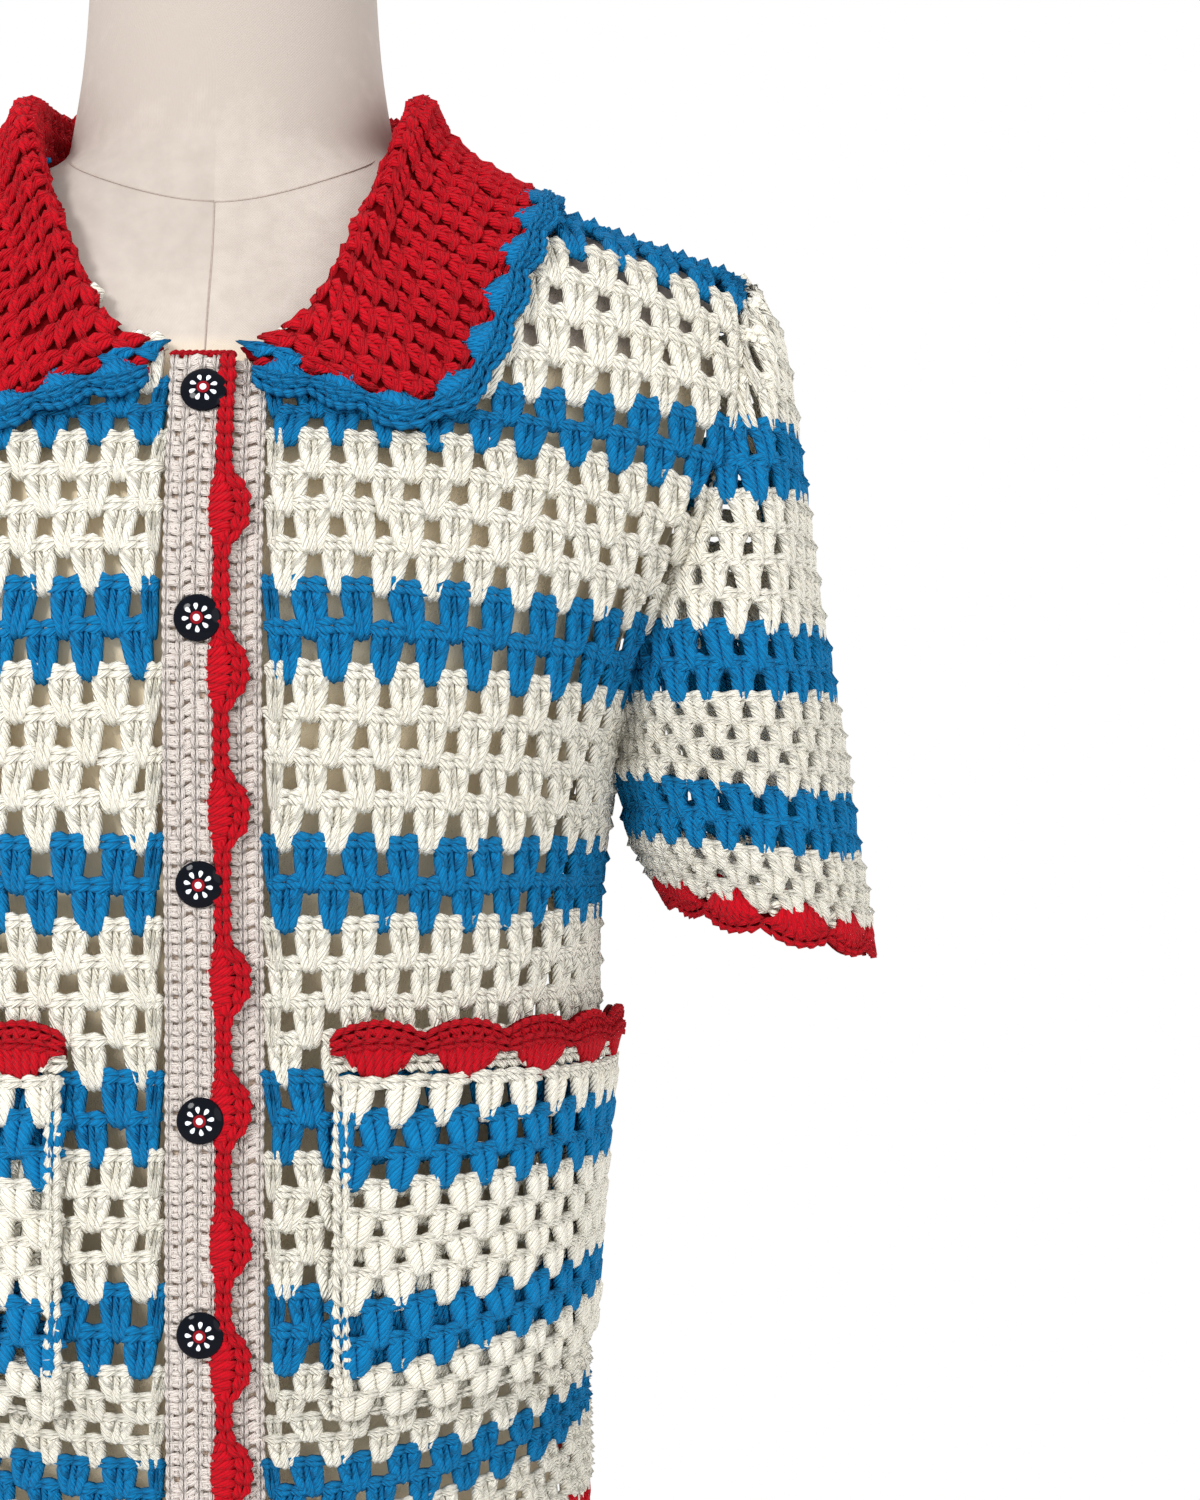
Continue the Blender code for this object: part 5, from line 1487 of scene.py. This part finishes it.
def build_placket_edging():
    heights = np.linspace(BAND_FOOT, NECK_TOP, 241)
    rows = np.linspace(0.0, 1.0, 4)
    lines = []
    for row in rows:
        across = EDGING_X[0] + (scallop_x(heights) - EDGING_X[0]) * row
        lines.append(np.array([lifted(x, z, BAND_LAYER) for x, z in zip(across, heights)]))
    fabric = Fabric(rows, lines, -1)
    yarn = Yarn()
    places = [(middle - BAND_FOOT) / (NECK_TOP - BAND_FOOT) for middle in PLACKET_SCALLOPS]
    add_shells(yarn, fabric, places, 0.95 * SCALLOP_HALF, float(fabric.length(0.0)), "placket")

    def rim(t):
        depth = fabric.depth(t)
        return (RIM_IN + (depth - RIM_NARROW) * RIM_SHARE) / depth

    add_chain(yarn, fabric, rim, "placket_rim")
    stitches = finish_piece(yarn.build("placket_edging_stitches", (RED_YARN,)), ["placket_edging"])
    # The wall under the placket's shells is painted shade.
    cloth = finish_piece(backing("placket_edging_painted_shade_wall", fabric, "placket", [RED_PAINTED_SHADE]), [])


# ---------------------------------------------------------------- seams and the neck cord
def cord_line(name, path, radius, finish, slot_name, nodes=(), step=0.0008, turn=0.0050, sides=6):
    """A two-ply cord along a path; turn is the length in which the plies go round once."""
    path = evenly(np.asarray(path), max(8, int(line_length(path) / step)))
    along = unit(np.gradient(path, axis=0))
    side = unit(np.cross(along, (0.0, -0.6, 0.8)))
    out = np.cross(side, along)
    angle = 2 * math.pi * distances(path)[:, None] / turn
    yarn = Yarn()
    for hand in (1, -1):
        ply = path + hand * radius * 0.55 * (np.cos(angle) * side + np.sin(angle) * out)
        stamp = Stamp([tube(ply, radius * 0.62, sides)])
        yarn.add(stamp, stamp.points[None])
    return finish_piece(yarn.build(name, (finish,)), nodes)


def build_armhole_seams():
    """The overcast seams that join the sleeves to the body, each from underarm to underarm."""
    rows = np.linspace(UNDERARM_ROW + 0.5, ROWS - 2.5, 40)
    for hand, label in SIDES:
        front = [FRONTS[hand].at(row, FRONTS[hand].reach(row)[1], -0.0014) for row in rows]
        back = [BACK.at(row, -hand * BACK.reach(row)[1], -0.0014) for row in rows]
        cord_line("armhole_seam_" + label, np.array(front + back[::-1]), 0.0024, CREAM_YARN, "cream_crochet",
                  step=0.0030, turn=0.0110, sides=4)


def build_shoulder_seams():
    """The blue cords that close the shoulders, from the collar to the sleeve."""
    for hand, label in SIDES:
        fabric = FRONTS[hand]
        path = fabric.at(ROWS - 0.06, np.linspace(0.2, 1.0, 90) * fabric.reach(ROWS)[1], -0.0022)
        path = [point for point in path if abs(point[0]) > neck_x(point[2] - CHEST) + 0.004]
        path += [fabric.at(row, fabric.reach(row)[1], -0.0020)
                 for row in (ROWS - 0.35, ROWS - 0.7, ROWS - 1.1)]
        cord_line("shoulder_seam_" + label, np.array(path), 0.0032, BLUE_YARN, "blue_crochet", step=0.0022,
                  turn=0.0110)


def build_neck_cord():
    height = NECK_TOP + SEAM + 0.0015
    across = np.linspace(BAND_X[0] - 0.001, EDGING_X[1], 12)
    path = np.array([lifted(x, height, BAND_LAYER - 0.0013) for x in across])
    cord_line("neck_cord_yarn", path, 0.0016, RED_YARN, "red_crochet", ["neck_cord"])


# ---------------------------------------------------------------- buttons
BUTTON_TURNS = (20.0, 4.0, -12.0, 9.0, -5.0, 15.0)   # of the print on each, in degrees
DOME_PARTS = (0.96, 0.9, 0.8, 0.68, 0.55, 0.4, 0.25, 0.12)
PETALS = 8
PETAL_PLACE = 0.0041     # a petal's distance from the button's middle
PETAL_LONG, PETAL_WIDE = 0.00125, 0.00074   # half its length and width
EYE_RADIUS, DOT_RADIUS = 0.00235, 0.00125   # the red eye and the white dot on it


def lathe(name, profile, sides, finish):
    """Closed solid turned from a profile of radius and height, its ends on the axis."""
    angle = 2 * math.pi * np.arange(sides) / sides
    points = [(0.0, 0.0, profile[0][1])]
    for radius, height in profile[1:-1]:
        points += [(radius * math.cos(a), radius * math.sin(a), height) for a in angle]
    points.append((0.0, 0.0, profile[-1][1]))
    rings = len(profile) - 2
    last = 1 + (rings - 1) * sides
    faces = []
    for j in range(sides):
        k = (j + 1) % sides
        faces.append((0, 1 + k, 1 + j))
        for a in range(1, last, sides):
            faces.append((a + j, a + k, a + sides + k, a + sides + j))
        faces.append((last + j, last + k, len(points) - 1))
    return mesh_object(name, points, faces, [finish])


def dome_height(r):
    """Height of a button's face at a distance from its middle."""
    return BUTTON_THICK * (0.50 + 0.50 * (1.0 - min(r / BUTTON_RADIUS, 1.0) ** 2.4))


def add_print(store, outline, lift, kind, rings=3):
    """Thin cap on the button's dome with a given outline; store holds points, faces and kinds."""
    points, faces, kinds = store
    outline = np.array(outline)
    centre = outline.mean(axis=0)

    def on_dome(x, y, over):
        points.append((x, y, dome_height(math.hypot(x, y)) + over))

    start, n = len(points), len(outline)
    for share in np.linspace(0.0, 1.0, rings + 1)[1:]:
        for x, y in centre + (outline - centre) * share:
            on_dome(x, y, lift)
    for x, y in outline:
        on_dome(x, y, -0.0001)
    middle = len(points)
    on_dome(*centre, lift)
    on_dome(*centre, -0.0001)
    last = start + rings * n
    for j in range(n):
        k = (j + 1) % n
        faces.append((start + j, start + k, middle))
        for a in range(start, last, n):
            faces.append((a + j, a + n + j, a + n + k, a + k))
        faces.append((last + k, last + j, middle + 1))
    kinds += [kind] * (len(faces) - len(kinds))


def petal_outline(angle):
    outline = []
    for phase in 2 * math.pi * np.arange(14) / 14:
        along = PETAL_PLACE + PETAL_LONG * math.cos(phase)
        aside = PETAL_WIDE * math.sin(phase) * (1.0 + 0.50 * math.cos(phase))
        outline.append((along * math.cos(angle) - aside * math.sin(angle),
                        along * math.sin(angle) + aside * math.cos(angle)))
    return outline


def build_buttons():
    profile = [(0.0, 0.0), (0.93 * BUTTON_RADIUS, 0.05 * BUTTON_THICK),
               (0.995 * BUTTON_RADIUS, 0.30 * BUTTON_THICK), (BUTTON_RADIUS, 0.44 * BUTTON_THICK)]
    profile += [(BUTTON_RADIUS * part, dome_height(BUTTON_RADIUS * part)) for part in DOME_PARTS]
    profile.append((0.0, BUTTON_THICK))
    circle = [(math.cos(a), math.sin(a)) for a in 2 * math.pi * np.arange(24) / 24]
    for number, (height, turn) in enumerate(zip(BUTTON_HEIGHTS, BUTTON_TURNS), 1):
        out = face_normal(np.array(BUTTON_X), np.array(height))
        place = body_point(BUTTON_X, height) + out * (BAND_LAYER + SEAM + 0.0004)
        disc = lathe("button_%d_disc" % number, profile, 48, BUTTON_BLACK_FINISH)
        store = points, faces, kinds = [], [], []
        for petal in range(PETALS):
            add_print(store, petal_outline(math.radians(petal * 360.0 / PETALS + turn)), 0.00009, 0)
        add_print(store, [(EYE_RADIUS * x, EYE_RADIUS * y) for x, y in circle], 0.00007, 1)
        add_print(store, [(DOT_RADIUS * x, DOT_RADIUS * y) for x, y in circle], 0.00016, 0)
        petals = mesh_object("button_%d_petals" % number, points, faces,
                             [BUTTON_WHITE_FINISH, BUTTON_RED_FINISH], kinds)
        petals.data.shade_flat()
        turned = Vector(out.tolist()).to_track_quat("Z", "Y").to_matrix().to_4x4()
        turned.translation = Vector(place.tolist())
        for made, nodes in ((disc, ["button_%d" % number]), (petals, [])):
            made.data.transform(turned)
            finish_piece(made, nodes)


# ---------------------------------------------------------------- dress form and stand
FORM_SEAM_FRONT = 0.209  # height of the seam round the foot of the neck, above the chest line
FORM_SEAM_SIDE = 0.238
SEAM_LOOK = {"step": 0.004, "turn": 0.2, "sides": 4}
FOOT_RINGS = ((0.90, 0.0060), (0.955, 0.0052), (0.985, 0.0030))    # share of the width, and drop
# The form's rings from one height to another, and how many: closer at the shoulders.
RING_RUNS = ((FORM_FOOT, 0.13, 34), (0.135, 0.250, 36), (0.258, FORM_TOP, 10))


def build_form():
    rings = [form_ring(z) for run in RING_RUNS for z in np.linspace(*run)]
    foot = [rings[0] * (share, share, 1.0) - (0.0, 0.0, drop) for share, drop in FOOT_RINGS]
    rings = np.array(foot + rings)
    for _ in range(2):
        rings[1:-1] = 0.25 * rings[:-2] + 0.5 * rings[1:-1] + 0.25 * rings[2:]
    rows, columns = rings.shape[:2]
    points = rings.reshape(-1, 3)
    around = [distances(np.concatenate([ring, ring[:1]])) for ring in rings]
    up = distances(rings[:, 0])
    marks = []
    for i in range(rows - 1):
        for j in range(columns):
            marks += [(around[i][j], up[i]), (around[i][j + 1], up[i]),
                      (around[i + 1][j + 1], up[i + 1]), (around[i + 1][j], up[i + 1])]
    ends = [tuple(range(columns))[::-1], tuple(range((rows - 1) * columns, rows * columns))]
    marks += [tuple(points[index][:2]) for end in ends for index in end]
    faces = quads_of(rows, columns, closed=True) + ends
    made = mesh_object("form_body", points.tolist(), faces, [LINEN_CLOTH])
    made.data.uv_layers.new(name="yarn").data.foreach_set("uv", np.array(marks).ravel())
    finish_piece(made, ["form_torso"])
    front = np.array([form_ring(z)[0] for z in np.linspace(-0.02, FORM_SEAM_FRONT, 40)])
    angle = 2 * math.pi * np.arange(FORM_SIDES + 1) / FORM_SIDES
    heights = FORM_SEAM_FRONT + (FORM_SEAM_SIDE - FORM_SEAM_FRONT) * np.sin(angle) ** 2
    neck = np.array([form_ring(z)[k % FORM_SIDES] for k, z in enumerate(heights)])
    for name, path in (("form_front_seam", front), ("form_neck_seam", neck)):
        cord_line(name, path, 0.00042, SEAM_THREAD, "linen_cover", **SEAM_LOOK)


def build_stand():
    base = [(0.0, 0.0), (BASE_RADIUS - 0.003, 0.0), (BASE_RADIUS - 0.0008, 0.0010), (BASE_RADIUS, 0.003),
            (BASE_RADIUS, 0.011), (BASE_RADIUS - 0.0012, 0.0140), (BASE_RADIUS - 0.004, BASE_THICK),
            (0.030, BASE_THICK), (0.0, BASE_THICK)]
    finish_piece(lathe("base_wood", base, 96, WOOD_FINISH), ["base"])
    foot = CHEST + FORM_FOOT - FOOT_RINGS[0][1] - SEAM
    low = BASE_THICK + SEAM
    pole = [(0.0, low), (0.024, low), (0.0245, low + 0.002), (0.0215, low + 0.007), (0.0135, low + 0.010),
            (POLE_RADIUS, low + 0.014), (POLE_RADIUS, foot - 0.001), (POLE_RADIUS - 0.001, foot),
            (0.0, foot)]
    finish_piece(lathe("pole_metal", pole, 48, STEEL_FINISH), ["pole"])
    top = CHEST + FORM_TOP + SEAM
    cap = [(0.0, top), (0.0535, top), (0.0545, top + 0.0020), (0.0540, top + 0.0055), (0.0500, top + 0.0078),
           (0.0300, top + 0.0082), (0.0120, top + 0.0084), (0.0, top + 0.0085)]
    finish_piece(lathe("cap_wood", cap, 64, WOOD_FINISH), ["neck_cap"])


# ---------------------------------------------------------------- floor, light and camera
FLOOR = ((0.0, -0.010), (1.55, -0.010), (1.56, -0.005), (1.55, 0.0), (0.0, 0.0))    # radius, height
# Lamps: name, place, size in metres and energy in watts.
LIGHTS = (("key", (-1.3, -2.3, 2.1), 0.7, 46.0), ("fill", (1.8, -2.0, 1.2), 1.6, 12.0),
          ("rear", (0.4, 2.2, 2.0), 1.5, 12.0))
LIT_PLACE = (0.0, 0.0, 0.75)
CAMERA_PLACE = (0.147, -1.325, 0.72)
CAMERA_LENS = 79.2       # millimetres, for 36 mm along the picture's long side


def build_stage():
    lathe("floor", FLOOR, 96, floor_material())
    world = bpy.data.worlds.new("studio")
    world.use_nodes = True
    back = world.node_tree.nodes["Background"]
    back.inputs["Color"].default_value = (1.0, 1.0, 1.0, 1.0)
    back.inputs["Strength"].default_value = 1.0
    bpy.context.scene.world = world
    for name, place, size, energy in LIGHTS:
        light = bpy.data.lights.new(name, "AREA")
        light.shape = "DISK"
        light.size = size
        light.energy = energy
        made = new_object(name, light)
        made.location = place
        made.rotation_euler = (Vector(LIT_PLACE) - Vector(place)).to_track_quat("-Z", "Y").to_euler()
    view = bpy.context.scene.view_settings
    view.view_transform = "Standard"
    view.look = "None"
    view.exposure = 0.0
    view.gamma = 1.0


def build_camera():
    made = bpy.data.cameras.new("camera")
    made.lens = CAMERA_LENS
    made.sensor_width = 36.0
    made.sensor_fit = "AUTO"
    made.clip_start = 0.02
    camera = new_object("camera", made)
    camera.location = CAMERA_PLACE
    camera.rotation_euler = (math.pi / 2, 0.0, 0.0)
    bpy.context.scene.camera = camera


build_camera()
build_stage()
build_form()
build_stand()
build_nets()
build_bands()
build_placket_edging()
build_neck_cord()
build_armhole_seams()
build_shoulder_seams()
build_hem_edgings()
build_cuff_edgings()
build_pockets()
build_pocket_edgings()
build_collar()
build_buttons()
